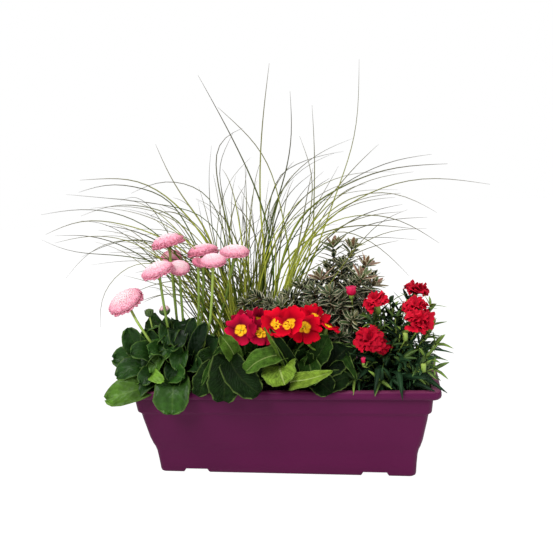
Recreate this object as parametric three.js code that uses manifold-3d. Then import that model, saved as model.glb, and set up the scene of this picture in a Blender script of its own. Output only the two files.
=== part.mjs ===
// A window box planted with a double daisy, an arching grass, two primroses, a heath shrub and
// a pot carnation.
// Millimetres, +Z up, +X along the box, +Y to its back. The origin is the centre of the box's underside.
import * as THREE from "three";
import { mergeVertices } from "three/addons/utils/BufferGeometryUtils.js";
import Module from "manifold-3d";

const wasm = await Module();
wasm.setup();

const gap = 0.3; // clearance between pieces that touch
const slack = 0.6; // more of it where a stalk meets its flower at a slant
const goldenAngle = Math.PI * (3 - Math.sqrt(5));

// ---------------------------------------------------------------- driving dimensions

const box = {
  height: 147,
  rimLength: 500,
  rimDepth: 190,
  footLength: 416,
  footDepth: 136,
  bandTop: 130, // underside of the rim
  bandFoot: 110,
  cornerRadius: 11,
  wall: 3,
};
const rim = {
  shoulder: 8, // from the rim's widest ring up to its top
  edge: 2.5, // height of the rounded top edge
  edgeInset: 3,
  hem: 3.5, // the skirt ends this far over the band
  hemInset: 3,
};
const channel = { x: 146, mouth: 45, roof: 37, height: 6 }; // runs across under the box
const drain = { radius: 4, y: 30 };
const soil = { top: 129 };
const plug = { height: 88, taper: 0.8, proud: 2 }; // a root ball out of its nursery pot
const crownRise = 9; // height of the short crown that a plant's leaves and stalks leave
const crownFoot = 4; // the leaves and stalks start this far up in it
const leafStart = 6; // a leaf's foot stands off the crown's middle, so no feet run through each other

// where each plant stands, and how wide its root ball is
const plants = {
  daisy: { x: -170, y: -16, radius: 42 },
  grass: { x: -62, y: 36, radius: 37 },
  primroseLeft: { x: -58, y: -41, radius: 35 },
  primroseRight: { x: 40, y: -39, radius: 35 },
  shrub: { x: 84, y: 37, radius: 35 },
  carnation: { x: 170, y: -8, radius: 42 },
};

// ---------------------------------------------------------------- materials

const finish = (color, roughness) => new THREE.MeshStandardMaterial({ color, roughness, metalness: 0 });

const materials = {
  plastic: finish("#5c2249", 0.3),
  compost: finish("#2b211b", 0.95),
  roots: finish("#4a3a2a", 0.95),
  daisyLeaf: finish("#2f5a24", 0.55),
  daisyPetal: finish("#eda9bd", 0.75),
  daisyBud: finish("#4d6b34", 0.65),
  grassBlade: finish("#8b9440", 0.55),
  primroseLeaf: finish("#3f6b2c", 0.6),
  primroseCrimson: finish("#b10d33", 0.65),
  primroseRed: finish("#e0061d", 0.65),
  shrubBark: finish("#5a4636", 0.85),
  shrubLeaf: finish("#6d7d62", 0.6),
  carnationLeaf: finish("#44673f", 0.6),
  carnationPetal: finish("#c20c28", 0.75),
  carnationBud: finish("#d81b52", 0.65),
};

// ---------------------------------------------------------------- joining and cutting solids

// A closed geometry as a solid, with only its positions kept and its shared corners merged.
function solid(geometry) {
  const bare = geometry.clone();
  bare.deleteAttribute("normal");
  bare.deleteAttribute("uv");
  const merged = mergeVertices(bare, 1e-4);
  const made = new wasm.Manifold(
    new wasm.Mesh({
      numProp: 3,
      vertProperties: new Float32Array(merged.attributes.position.array),
      triVerts: new Uint32Array(merged.index.array),
    }),
  );
  return made;
}

function geometryOf(made) {
  const mesh = made.getMesh();
  const geometry = new THREE.BufferGeometry();
  geometry.setAttribute("position", new THREE.BufferAttribute(new Float32Array(mesh.vertProperties), 3));
  geometry.setIndex(new THREE.BufferAttribute(new Uint32Array(mesh.triVerts), 1));
  return geometry;
}

const join = (geometries) => geometries.map(solid).reduce((a, b) => a.add(b));

// ---------------------------------------------------------------- shapes used more than once

// The corner points of a rectangle with rounded corners, anticlockwise from above.
function roundedRing(halfX, halfY, radius, z) {
  const steps = 4;
  const corners = [
    [1, 1, 0],
    [-1, 1, 90],
    [-1, -1, 180],
    [1, -1, 270],
  ];
  return corners.flatMap(([sx, sy, from]) =>
    Array.from({ length: steps + 1 }, (_, i) => {
      const angle = THREE.MathUtils.degToRad(from + (90 * i) / steps);
      const x = sx * (halfX - radius) + radius * Math.cos(angle);
      const y = sy * (halfY - radius) + radius * Math.sin(angle);
      return new THREE.Vector3(x, y, z);
    }),
  );
}

// A closed skin over rings of equal count, capped by a fan at each end.
function loft(rings) {
  const count = rings[0].length;
  const middle = (ring) => ring.reduce((sum, p) => sum.clone().add(p)).divideScalar(count);
  const points = [...rings.flat(), middle(rings[0]), middle(rings.at(-1))];
  const index = [];
  for (let level = 0; level + 1 < rings.length; level++) {
    for (let i = 0; i < count; i++) {
      const a = level * count + i;
      const b = level * count + ((i + 1) % count);
      index.push(a, b, b + count, a, b + count, a + count);
    }
  }
  const lowest = points.length - 2;
  const last = (rings.length - 1) * count;
  for (let i = 0; i < count; i++) {
    const next = (i + 1) % count;
    index.push(lowest, next, i, lowest + 1, last + i, last + next);
  }
  return new THREE.BufferGeometry().setFromPoints(points).setIndex(index);
}

// A box bent along a smooth path: side is the direction of its width, and halfWidth a function of the
// share of the length, 0 at the base and 1 at the tip.
function strip(path, { steps, side, halfWidth, thickness }) {
  const curve = new THREE.CatmullRomCurve3(path);
  const geometry = new THREE.BoxGeometry(1, 1, 1, steps, 1, 1);
  const place = geometry.attributes.position;
  for (let i = 0; i < place.count; i++) {
    const along = place.getX(i) + 0.5;
    const tangent = curve.getTangent(along);
    const across = side.clone().addScaledVector(tangent, -side.dot(tangent)).normalize();
    const normal = new THREE.Vector3().crossVectors(tangent, across);
    const point = curve
      .getPoint(along)
      .addScaledVector(across, 2 * place.getY(i) * halfWidth(along))
      .addScaledVector(normal, place.getZ(i) * thickness);
    place.setXYZ(i, point.x, point.y, point.z);
  }
  return geometry;
}

// A tapered stalk, stem or blade along points, thick in its own width.
function stalk(points, radius, steps = 5, tipShare = 0.6) {
  const path = points.map((p) => new THREE.Vector3(...p));
  const reach = path.at(-1).clone().sub(path[0]);
  const side = new THREE.Vector3(-reach.y, reach.x, 0);
  if (side.length() < 1) side.set(0, 1, 0);
  const halfWidth = (t) => radius * (1 - (1 - tipShare) * t);
  const thickness = 1.6 * radius;
  return strip(path, { steps, side: side.normalize(), halfWidth, thickness });
}

// The spot in a crown where the stalk of a given number starts. The stalks stand spread, so that
// none cross there.
function crownSpot(base, number, spread) {
  const angle = number * goldenAngle;
  const out = spread * Math.sqrt((number % 8) / 8);
  return base.clone().add(new THREE.Vector3(out * Math.cos(angle), out * Math.sin(angle), 0));
}

// A stalk that rises first and then leans over to its end.
function risingStalk(base, end, radius, steps) {
  const knee = { out: 0.4, up: 0.5 };
  const tipShare = 0.75;
  const span = end.clone().sub(base);
  const middle = base.clone().addScaledVector(span, knee.out).setZ(base.z + span.z * knee.up);
  const points = [base, middle, end].map((p) => p.toArray());
  return stalk(points, radius, steps, tipShare);
}

// How a leaf leaves its crown, as [out, up] in shares of its length.
const habits = {
  standing: [[0, 0], [0.1, 0.34], [0.24, 0.68], [0.4, 0.93]],
  arching: [[0, 0], [0.27, 0.37], [0.6, 0.58], [0.93, 0.5]],
  spreading: [[0, 0], [0.34, 0.24], [0.68, 0.32], [1, 0.2]],
  hanging: [[0, 0], [0.4, 0.36], [0.76, 0.36], [1.02, 0.02]],
};

// One leaf from a point, turned about Z by turn degrees, broadest at the share bulge of its length.
function leaf(from, { turn, length, width, habit, bulge = 0.65, steps = 4, thickness = 1.2 }) {
  const angle = THREE.MathUtils.degToRad(turn);
  const ahead = new THREE.Vector3(Math.cos(angle), Math.sin(angle), 0);
  const path = habits[habit].map(([out, up]) =>
    from
      .clone()
      .addScaledVector(ahead, leafStart + out * (length - leafStart))
      .setZ(from.z + up * length),
  );
  const stalkShare = 0.16; // the stalk's width as a share of the leaf's
  const power = Math.log(0.5) / Math.log(bulge);
  const halfWidth = (t) => (width / 2) * Math.max(stalkShare, Math.sin(Math.PI * t ** power));
  const side = new THREE.Vector3(-ahead.y, ahead.x, 0);
  return strip(path, { steps, side, halfWidth, thickness });
}

// A solid of revolution about Z from [radius, height] points that start and end on the axis, bottom first.
function turned(profile, segments) {
  const outline = profile.map(([r, z]) => new THREE.Vector2(r, z));
  return new THREE.LatheGeometry(outline, segments).rotateX(Math.PI / 2);
}

// Moves a shape made about Z so that its axis points along facing and its origin sits at the point.
function faced(geometry, at, facing) {
  const turn = new THREE.Quaternion().setFromUnitVectors(
    new THREE.Vector3(0, 0, 1),
    new THREE.Vector3(...facing).normalize(),
  );
  return geometry.applyQuaternion(turn).translate(...at);
}

// The point at a distance straight behind a flower's middle.
function behind({ at, facing }, distance) {
  const back = new THREE.Vector3(...facing).normalize().multiplyScalar(-distance);
  return new THREE.Vector3(...at).add(back);
}

// ---------------------------------------------------------------- the window box

// Half length and half depth of the outer wall at a height, between the foot and the band.
const wallProfile = [
  [0, box.footLength / 2, box.footDepth / 2],
  [4, 210, 70],
  [36, 213, 72],
  [51, 218, 75],
  [80, 225.5, 79],
  [105, 230.5, 82],
  [box.bandFoot, 235.5, 85],
  [box.bandTop, 238, 86.5],
];

function windowBox() {
  const { height, rimLength, rimDepth, cornerRadius, wall, bandTop } = box;
  const outer = wallProfile.map(([z, x, y]) => roundedRing(x, y, cornerRadius - wall, z));
  const rimRing = (inset, z) =>
    roundedRing(rimLength / 2 - inset, rimDepth / 2 - inset, cornerRadius, z);
  const [, bandX, bandY] = wallProfile.at(-1);
  const overhang = [
    roundedRing(bandX, bandY, cornerRadius - wall, height - wall),
    rimRing(wall, height - wall),
    rimRing(rim.hemInset + wall / 2, bandTop + rim.hem + 1),
    rimRing(rim.hemInset, bandTop + rim.hem),
    rimRing(0, height - rim.shoulder),
    rimRing(rim.edgeInset / 6, height - rim.edge),
    rimRing(rim.edgeInset, height),
  ];
  let body = solid(loft([...outer, ...overhang]));
  body = body.subtract(solid(cavity(wall, height + 1)));
  for (const side of [-1, 1]) {
    body = body.add(channelPrism(side, wall).intersect(solid(cavity(wall - 0.5, height))));
    body = body.subtract(channelPrism(side, 0));
    for (const y of [-drain.y, drain.y]) {
      const hole = new THREE.CylinderGeometry(drain.radius, drain.radius, 30, 12).rotateX(Math.PI / 2);
      body = body.subtract(solid(hole.translate(side * channel.x, y, 0)));
    }
  }
  return geometryOf(body);
}

// The space inside the walls, shrunk by inset from the outside, up to a height.
function cavity(inset, top) {
  const { cornerRadius } = box;
  const inside = wallProfile
    .filter(([z]) => z >= 4)
    .map(([z, x, y]) => roundedRing(x - inset, y - inset, cornerRadius - inset, z));
  const [, footX, footY] = wallProfile[1];
  const [, topX, topY] = wallProfile.at(-1);
  const floor = roundedRing(footX - inset - 1, footY - inset - 1, cornerRadius - inset, inset);
  const mouth = roundedRing(topX - inset, topY - inset, cornerRadius - inset, top);
  return loft([floor, ...inside, mouth]);
}

// The trapezoid of one cross channel, grown by a wall, running past both long walls.
function channelPrism(side, grown) {
  const shape = new THREE.Shape([
    new THREE.Vector2(-channel.mouth / 2 - grown, -1),
    new THREE.Vector2(channel.mouth / 2 + grown, -1),
    new THREE.Vector2(channel.mouth / 2 + grown, 0),
    new THREE.Vector2(channel.roof / 2 + grown, channel.height + grown),
    new THREE.Vector2(-channel.roof / 2 - grown, channel.height + grown),
    new THREE.Vector2(-channel.mouth / 2 - grown, 0),
  ]);
  const prism = new THREE.ExtrudeGeometry(shape, { depth: box.rimDepth, bevelEnabled: false });
  return solid(prism.rotateX(Math.PI / 2).translate(side * channel.x, box.rimDepth / 2, 0));
}

// ---------------------------------------------------------------- compost and root balls

function rootBall({ x, y, radius }, grown = 0) {
  const top = soil.top + plug.proud;
  const foot = radius * plug.taper + grown;
  const base = top - plug.height - grown;
  const profile = [
    [0, base],
    [foot, base],
    [radius + grown, top - 6],
    [radius - 3 + grown, grown ? top + 20 : top],
    [0, grown ? top + 20 : top],
  ];
  return turned(profile, 14).translate(x, y, 0);
}

function compost() {
  let heap = solid(cavity(box.wall + gap, soil.top));
  for (const side of [-1, 1]) {
    heap = heap.subtract(channelPrism(side, box.wall + gap));
  }
  for (const plant of Object.values(plants)) {
    heap = heap.subtract(solid(rootBall(plant, gap)));
  }
  return geometryOf(heap);
}

// The point on top of a root ball where its plant stands.
const standOf = ({ x, y }) => new THREE.Vector3(x, y, soil.top + plug.proud + gap);

// A short domed crown on a root ball.
function crown(plant, radius) {
  const { x, y, z } = standOf(plant);
  const profile = [
    [0, 0],
    [radius, 0],
    [radius * 0.9, crownRise * 0.6],
    [0, crownRise],
  ];
  return turned(profile, 8).translate(x, y, z);
}

// ---------------------------------------------------------------- double daisy

// Each head: its centre, its radius and the way it faces.
const daisyHeads = [
  { at: [-253, -45, 285], radius: 34, facing: [-0.5, -0.35, 0.8] },
  { at: [-191, -52, 334], radius: 29, facing: [-0.2, -0.45, 0.87] },
  { at: [-189, 10, 376], radius: 29, facing: [-0.15, 0.1, 0.98] },
  { at: [-162, -26, 333], radius: 19, facing: [0.15, -0.5, 0.85] },
  { at: [-133, 22, 362], radius: 28, facing: [-0.1, 0.15, 0.98] },
  { at: [-93, -62, 350], radius: 22, facing: [0.1, -0.6, 0.8] },
  { at: [-77, -8, 356], radius: 26, facing: [0.05, -0.15, 0.98] },
  { at: [-198, 48, 344], radius: 21, facing: [-0.2, 0.75, 0.6] },
  { at: [-131, -12, 342], radius: 13, facing: [0.5, 0.3, 0.8] },
];
const daisyBuds = [
  { at: [-213, -46, 266], radius: 8 },
  { at: [-198, -22, 273], radius: 8.5 },
];
const daisyHeadDepth = 0.36; // half thickness of a head as a share of its radius

function daisyHead({ at, radius, facing }) {
  const thick = radius * daisyHeadDepth;
  const profile = [
    [0, -thick * 0.8],
    [radius * 0.45, -thick * 0.85],
    [radius * 0.93, -thick * 0.3],
    [radius, thick * 0.2],
    [radius * 0.7, thick * 0.85],
    [0, thick],
  ];
  return faced(turned(profile, 14), at, facing);
}

// The point just under a head where its stalk ends.
function underHead(head) {
  const depth = 0.83 * head.radius * daisyHeadDepth;
  return behind(head, depth + gap + slack);
}

function daisyBud({ at, radius }) {
  const profile = [
    [0, -radius],
    [radius * 0.8, -radius * 0.6],
    [radius, 0],
    [radius * 0.7, radius * 0.8],
    [0, radius * 1.1],
  ];
  return turned(profile, 8).translate(...at);
}

// Leaves of the daisy: turn about Z in degrees, length, width and habit.
const daisyLeaves = [
  { turn: 262, length: 108, width: 44, habit: "hanging" },
  { turn: 228, length: 118, width: 40, habit: "hanging" },
  { turn: 282, length: 92, width: 36, habit: "spreading" },
  { turn: 200, length: 100, width: 36, habit: "arching" },
  { turn: 176, length: 88, width: 34, habit: "arching" },
  { turn: 150, length: 92, width: 36, habit: "arching" },
  { turn: 118, length: 90, width: 34, habit: "arching" },
  { turn: 80, length: 84, width: 32, habit: "arching" },
  { turn: 318, length: 60, width: 30, habit: "arching" },
  { turn: 30, length: 66, width: 30, habit: "standing" },
  { turn: 345, length: 92, width: 32, habit: "standing" },
  { turn: 190, length: 106, width: 36, habit: "standing" },
  { turn: 250, length: 98, width: 34, habit: "standing" },
  { turn: 120, length: 104, width: 34, habit: "standing" },
  { turn: 60, length: 96, width: 32, habit: "standing" },
];

// The point just under an upright bud whose lowest point is depth below its middle.
function underBud([x, y, z], depth) {
  return new THREE.Vector3(x, y, z - depth - gap);
}

// The point where a plant's leaves and stalks start, inside its crown.
function crownBase(plant) {
  const foot = standOf(plant);
  return foot.setZ(foot.z + crownFoot);
}

function daisyPlant() {
  const base = crownBase(plants.daisy);
  const ends = [
    ...daisyHeads.map(underHead),
    ...daisyBuds.map(({ at, radius }) => underBud(at, radius)),
  ];
  const stalks = ends.map((end, i) => risingStalk(crownSpot(base, i, 7), end, 2.2, 4));
  const leaves = daisyLeaves.map((shape) => leaf(base, shape));
  return geometryOf(join([crown(plants.daisy, 14), ...leaves, ...stalks]));
}

// ---------------------------------------------------------------- arching grass

// Each shoot stands at its own spot on the root ball, as [x, y] from the plant's centre, and its blades
// pass through their points in [x, y, z] from there to the tip.
const grassShoots = [
  {
    spot: [-24, 4],
    blades: [
      [[-150, 84, 275], [-225, 92, 385], [-320, 96, 420], [-410, 98, 396]],
      [[-155, 78, 268], [-240, 84, 345], [-345, 86, 355], [-448, 88, 384]],
      [[-145, 90, 280], [-215, 104, 370], [-290, 112, 388], [-355, 116, 366]],
      [[-160, 70, 258], [-250, 74, 330], [-315, 76, 300], [-340, 78, 238]],
    ],
  },
  {
    spot: [-20, 18],
    blades: [
      [[-120, 70, 300], [-180, 95, 432], [-270, 112, 492], [-345, 120, 484]],
      [[-125, 85, 305], [-190, 120, 436], [-280, 140, 460], [-372, 150, 462]],
      [[-130, 65, 300], [-205, 82, 420], [-280, 92, 440], [-345, 98, 424]],
      [[-112, 95, 310], [-150, 135, 460], [-200, 150, 484], [-255, 160, 458]],
    ],
  },
  {
    spot: [-6, 24],
    blades: [
      [[-92, 80, 330], [-104, 98, 470], [-100, 106, 548], [-52, 110, 556]],
      [[-82, 95, 330], [-96, 118, 460], [-92, 128, 530], [-66, 132, 548]],
      [[-108, 72, 330], [-118, 86, 450], [-112, 92, 520], [-104, 94, 545]],
      [[-100, 110, 320], [-150, 160, 440], [-185, 190, 505], [-200, 205, 540]],
    ],
  },
  {
    spot: [2, 10],
    blades: [
      [[-40, 40, 330], [-38, 42, 430], [-72, 45, 556], [-124, 50, 648]],
      [[-38, 52, 330], [-30, 60, 440], [-20, 64, 540], [2, 66, 658]],
      [[-30, 62, 330], [-6, 74, 450], [-30, 84, 545], [-92, 92, 592]],
      [[-52, 46, 330], [-66, 50, 440], [-80, 52, 500], [-98, 54, 520]],
    ],
  },
  {
    spot: [16, 22],
    blades: [
      [[-8, 90, 330], [22, 130, 450], [38, 150, 550], [36, 160, 615]],
      [[4, 84, 330], [58, 110, 450], [70, 122, 535], [70, 128, 590]],
      [[8, 95, 330], [40, 145, 460], [90, 175, 515], [135, 190, 532]],
      [[-16, 100, 320], [-10, 170, 450], [-12, 215, 520], [-16, 240, 560]],
    ],
  },
  {
    spot: [24, 10],
    blades: [
      [[18, 62, 320], [98, 78, 452], [146, 86, 560], [142, 90, 650]],
      [[22, 70, 320], [92, 94, 440], [140, 108, 492], [172, 114, 518]],
      [[16, 76, 320], [70, 104, 440], [94, 116, 475], [106, 122, 492]],
      [[20, 55, 310], [100, 62, 445], [180, 66, 490], [250, 68, 498]],
    ],
  },
  {
    spot: [26, -2],
    blades: [
      [[24, 40, 300], [100, 44, 425], [225, 48, 464], [338, 50, 446]],
      [[20, 48, 305], [86, 54, 440], [180, 58, 476], [272, 60, 480]],
      [[28, 34, 295], [100, 34, 402], [170, 34, 412], [258, 36, 356]],
      [[26, 28, 290], [75, 26, 380], [150, 24, 364], [208, 22, 303]],
    ],
  },
  {
    spot: [4, -8],
    blades: [
      [[-30, 26, 280], [0, 24, 390], [70, 10, 450], [130, -4, 448]],
      [[-60, 30, 290], [-72, 36, 400], [-112, 24, 452], [-150, 10, 440]],
      [[-48, 28, 290], [-42, 14, 400], [-38, -10, 455], [-34, -36, 470]],
      [[-88, 52, 280], [-122, 70, 370], [-164, 66, 412], [-220, 56, 406]],
    ],
  },
];
const blade = { radius: 1.3, steps: 6, tipShare: 0.3 };
const sheath = { radius: 4, height: 34 }; // the tight foot of a shoot, where its blades are wrapped

function grassShoot({ spot, blades }) {
  const foot = standOf(plants.grass).add(new THREE.Vector3(spot[0], spot[1], 0));
  const profile = [
    [0, 0],
    [sheath.radius, 0],
    [sheath.radius * 0.75, sheath.height],
    [0, sheath.height],
  ];
  const made = blades.map((points, i) => {
    const base = crownSpot(foot, i + 1, sheath.radius).setZ(foot.z + sheath.height * 0.6);
    return stalk([base.toArray(), ...points], blade.radius, blade.steps, blade.tipShare);
  });
  return geometryOf(join([turned(profile, 6).translate(foot.x, foot.y, foot.z), ...made]));
}

// ---------------------------------------------------------------- primroses

const primroses = {
  left: {
    plant: plants.primroseLeft,
    flowers: [
      { at: [-58, -66, 236], facing: [-0.15, -0.75, 0.6] },
      { at: [-54, -28, 260], facing: [-0.1, -0.25, 0.95] },
      { at: [-24, -40, 258], facing: [0.6, -0.5, 0.6] },
      { at: [-18, -68, 222], facing: [0.45, -0.7, 0.5] },
    ],
    leaves: [
      { turn: 226, length: 96, width: 52, habit: "hanging" },
      { turn: 264, length: 92, width: 50, habit: "hanging" },
      { turn: 300, length: 84, width: 46, habit: "spreading" },
      { turn: 196, length: 60, width: 32, habit: "arching" },
      { turn: 168, length: 92, width: 26, habit: "standing" },
      { turn: 20, length: 60, width: 30, habit: "standing" },
    ],
  },
  right: {
    plant: plants.primroseRight,
    flowers: [
      { at: [0, -70, 244], facing: [-0.45, -0.65, 0.6] },
      { at: [18, -90, 243], facing: [0, -0.8, 0.6] },
      { at: [46, -66, 240], facing: [0.35, -0.7, 0.6] },
      { at: [60, -26, 260], facing: [0.4, 0.1, 0.9] },
      { at: [86, -52, 238], facing: [0.7, 0.1, 0.6] },
      { at: [22, -28, 268], facing: [0, -0.25, 0.97] },
    ],
    leaves: [
      { turn: 236, length: 74, width: 46, habit: "spreading" },
      { turn: 284, length: 80, width: 44, habit: "hanging" },
      { turn: 322, length: 84, width: 44, habit: "spreading" },
      { turn: 350, length: 70, width: 42, habit: "arching" },
      { turn: 300, length: 92, width: 34, habit: "standing" },
      { turn: 190, length: 84, width: 22, habit: "standing" },
    ],
  },
};
const primroseFlower = { radius: 22, petals: 5, throat: 3, tube: 12, notch: 0.3 };

// A shallow five-lobed disc with a throat, above a short tube.
function primroseHead({ at, facing }) {
  const { radius, petals, throat, tube, notch } = primroseFlower;
  const profile = [
    [0, -tube],
    [throat * 0.7, -tube],
    [throat, -0.8],
    [radius, 1.6],
    [radius, 3],
    [throat, 1],
    [0, 0.6],
  ];
  const disc = turned(profile, petals * 4);
  const place = disc.attributes.position;
  for (let i = 0; i < place.count; i++) {
    const x = place.getX(i);
    const y = place.getY(i);
    if (Math.hypot(x, y) < throat * 1.5) continue;
    const lobe = Math.abs(Math.sin((petals / 2) * Math.atan2(y, x)));
    const share = 1 - notch * (1 - Math.sqrt(lobe));
    place.setXYZ(i, x * share, y * share, place.getZ(i));
  }
  return faced(disc, at, facing);
}

function primrosePlant({ plant, flowers, leaves }) {
  const base = crownBase(plant);
  const stalks = flowers.map((flower, i) => {
    const end = behind(flower, primroseFlower.tube + gap + slack);
    return risingStalk(crownSpot(base, i + 1, 6), end, 1.3, 3);
  });
  const blades = leaves.map((shape) => leaf(base, { bulge: 0.6, ...shape }));
  return geometryOf(join([crown(plant, 12), ...blades, ...stalks]));
}

// ---------------------------------------------------------------- heath shrub

// Each shoot: where its stem leaves the main stem, and its tip, in [x, y, z].
const shrubShoots = [
  { from: [86, 38, 250], tip: [87, 44, 344] },
  { from: [93, 48, 250], tip: [118, 62, 332] },
  { from: [80, 32, 232], tip: [62, 28, 302] },
  { from: [96, 40, 220], tip: [150, 42, 284] },
  { from: [76, 30, 210], tip: [14, 8, 284] },
  { from: [74, 34, 198], tip: [-14, 8, 260] },
  { from: [88, 30, 204], tip: [100, 0, 264] },
  { from: [88, 48, 212], tip: [100, 94, 296] },
];
const shrubStem = { radius: 3.2, top: 268 };
const whorl = { leaves: 4, spacing: 17, leafLength: 22, leafWidth: 5.5, leafThickness: 1.4 };

function shrubStems() {
  const foot = standOf(plants.shrub);
  const { radius, top } = shrubStem;
  const bends = [foot.toArray(), [foot.x + 4, foot.y - 2, 200], [foot.x + 6, foot.y + 4, top]];
  const main = stalk(bends, radius, 5, 0.4);
  const forks = shrubShoots.map(({ from, tip }) => {
    const lower = [foot.x + 2, foot.y, from[2] - 26];
    const end = new THREE.Vector3(...from).lerp(new THREE.Vector3(...tip), 0.3).toArray();
    return stalk([lower, from, end], radius * 0.5, 3, 0.7);
  });
  return geometryOf(join([crown(plants.shrub, 6), main, ...forks]));
}

// The upper part of a shoot with its whorls of narrow leaves.
function shrubShoot({ from, tip }) {
  const start = new THREE.Vector3(...from);
  const end = new THREE.Vector3(...tip);
  const ahead = end.clone().sub(start).normalize();
  const base = start.clone().lerp(end, 0.3).addScaledVector(ahead, gap + slack / 2);
  const length = base.distanceTo(end);
  const middle = base.clone().lerp(end, 0.5);
  const stem = [base, middle, end].map((p) => p.toArray());
  const parts = [stalk(stem, 1.4, 2, 0.7)];
  const { leaves, spacing, leafLength, leafWidth, leafThickness } = whorl;
  const levels = Math.floor(length / spacing);
  for (let level = 0; level <= levels; level++) {
    const spread = level === levels ? 0.55 : 0.85; // the top leaves stand more upright
    for (let i = 0; i < leaves; i++) {
      const angle = 2 * Math.PI * (i / leaves + level * 0.31);
      const outward = new THREE.Vector3(Math.cos(angle), Math.sin(angle), 0).cross(ahead).normalize();
      const aim = outward.multiplyScalar(spread).addScaledVector(ahead, 0.6).normalize();
      const blade = new THREE.OctahedronGeometry(1).scale(leafWidth / 2, leafThickness / 2, leafLength / 2);
      const place = base.clone().addScaledVector(ahead, Math.min(level * spacing + 2, length - 1));
      place.addScaledVector(aim, leafLength * 0.5 + 0.6);
      parts.push(faced(blade, place.toArray(), aim.toArray()));
    }
  }
  return geometryOf(join(parts));
}

// ---------------------------------------------------------------- pot carnation

const carnationFlowers = [
  { at: [157, -24, 271], radius: 23, facing: [-0.2, -0.5, 0.85] },
  { at: [147, -60, 220], radius: 25, facing: [-0.2, -0.85, 0.45] },
  { at: [219, -12, 262], radius: 23, facing: [0.1, -0.3, 0.95] },
  { at: [221, -46, 240], radius: 23, facing: [0.1, -0.85, 0.5] },
  { at: [218, 30, 284], radius: 22, facing: [0.1, 0.2, 0.97] },
  { at: [174, -48, 198], radius: 15, facing: [0.3, -0.8, 0.4] },
];
const carnationBuds = [
  { at: [117, -14, 289], radius: 8 },
  { at: [136, -46, 182], radius: 5 },
];
const carnationFlower = { depth: 0.55, calyx: 16, calyxRadius: 4.5 };

function carnationHead({ at, radius, facing }) {
  const { depth, calyx, calyxRadius } = carnationFlower;
  const profile = [
    [0, -calyx],
    [calyxRadius * 0.7, -calyx],
    [calyxRadius, -3],
    [radius * 0.95, 1],
    [radius, 4],
    [radius * 0.7, radius * depth * 0.8],
    [0, radius * depth],
  ];
  return faced(turned(profile, 10), at, facing);
}

function carnationBud({ at, radius }) {
  const profile = [
    [0, -radius * 1.6],
    [radius * 0.6, -radius * 1.4],
    [radius, 0],
    [radius * 0.6, radius],
    [0, radius * 1.2],
  ];
  return turned(profile, 8).translate(...at);
}

function carnationPlant() {
  const base = crownBase(plants.carnation);
  const flowerStems = carnationFlowers.map((flower, i) => {
    const end = behind(flower, carnationFlower.calyx + gap + 1.3 * slack);
    return risingStalk(crownSpot(base, i, 7), end, 1.5, 3);
  });
  const budStems = carnationBuds.map(({ at, radius }, i) => {
    const end = underBud(at, 1.6 * radius + slack);
    return risingStalk(crownSpot(base, carnationFlowers.length + i, 7), end, 1.2, 3);
  });
  const leaves = [];
  const rings = [
    { count: 8, length: 64, habit: "spreading", start: 10 },
    { count: 8, length: 82, habit: "arching", start: 32 },
    { count: 6, length: 92, habit: "standing", start: 0 },
  ];
  for (const { count, length, habit, start } of rings) {
    for (let i = 0; i < count; i++) {
      const turn = start + (360 * i) / count;
      leaves.push(leaf(base, { turn, length, width: 7, habit, bulge: 0.5, steps: 3, thickness: 1.4 }));
    }
  }
  return geometryOf(join([crown(plants.carnation, 12), ...leaves, ...flowerStems, ...budStems]));
}

// ---------------------------------------------------------------- the whole object

const group = new THREE.Group();

function add(name, geometry, material) {
  const mesh = new THREE.Mesh(geometry, materials[material]);
  mesh.name = name;
  group.add(mesh);
}

add("window_box", windowBox(), "plastic");
add("compost", compost(), "compost");
const ballNames = {
  daisy: "daisy_root_ball",
  grass: "grass_root_ball",
  primroseLeft: "primrose_left_root_ball",
  primroseRight: "primrose_right_root_ball",
  shrub: "shrub_root_ball",
  carnation: "carnation_root_ball",
};
for (const [plant, name] of Object.entries(ballNames)) {
  add(name, rootBall(plants[plant]), "roots");
}

add("daisy_leaves_and_stalks", daisyPlant(), "daisyLeaf");
daisyHeads.forEach((head, i) => add(`daisy_flower_${i + 1}`, daisyHead(head), "daisyPetal"));
daisyBuds.forEach((bud, i) => add(`daisy_bud_${i + 1}`, daisyBud(bud), "daisyBud"));

grassShoots.forEach((shoot, i) => add(`grass_shoot_${i + 1}`, grassShoot(shoot), "grassBlade"));

add("primrose_left_leaves", primrosePlant(primroses.left), "primroseLeaf");
add("primrose_right_leaves", primrosePlant(primroses.right), "primroseLeaf");
primroses.left.flowers.forEach((flower, i) =>
  add(`primrose_left_flower_${i + 1}`, primroseHead(flower), "primroseCrimson"),
);
primroses.right.flowers.forEach((flower, i) =>
  add(`primrose_right_flower_${i + 1}`, primroseHead(flower), "primroseRed"),
);

add("shrub_stems", shrubStems(), "shrubBark");
shrubShoots.forEach((shoot, i) => add(`shrub_shoot_${i + 1}`, shrubShoot(shoot), "shrubLeaf"));

add("carnation_leaves_and_stems", carnationPlant(), "carnationLeaf");
carnationFlowers.forEach((flower, i) =>
  add(`carnation_flower_${i + 1}`, carnationHead(flower), "carnationPetal"),
);
carnationBuds.forEach((bud, i) =>
  add(`carnation_bud_${i + 1}`, carnationBud(bud), "carnationBud"),
);

export default group;
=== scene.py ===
# A plum window box planted with a double daisy, arching grass, two primroses, a heath shrub and a
# pot carnation.
# Everything is in metres, with +X along the box, +Y to its back and +Z up.
import math

import bmesh
import bpy
import numpy as np
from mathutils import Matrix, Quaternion, Vector


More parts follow.
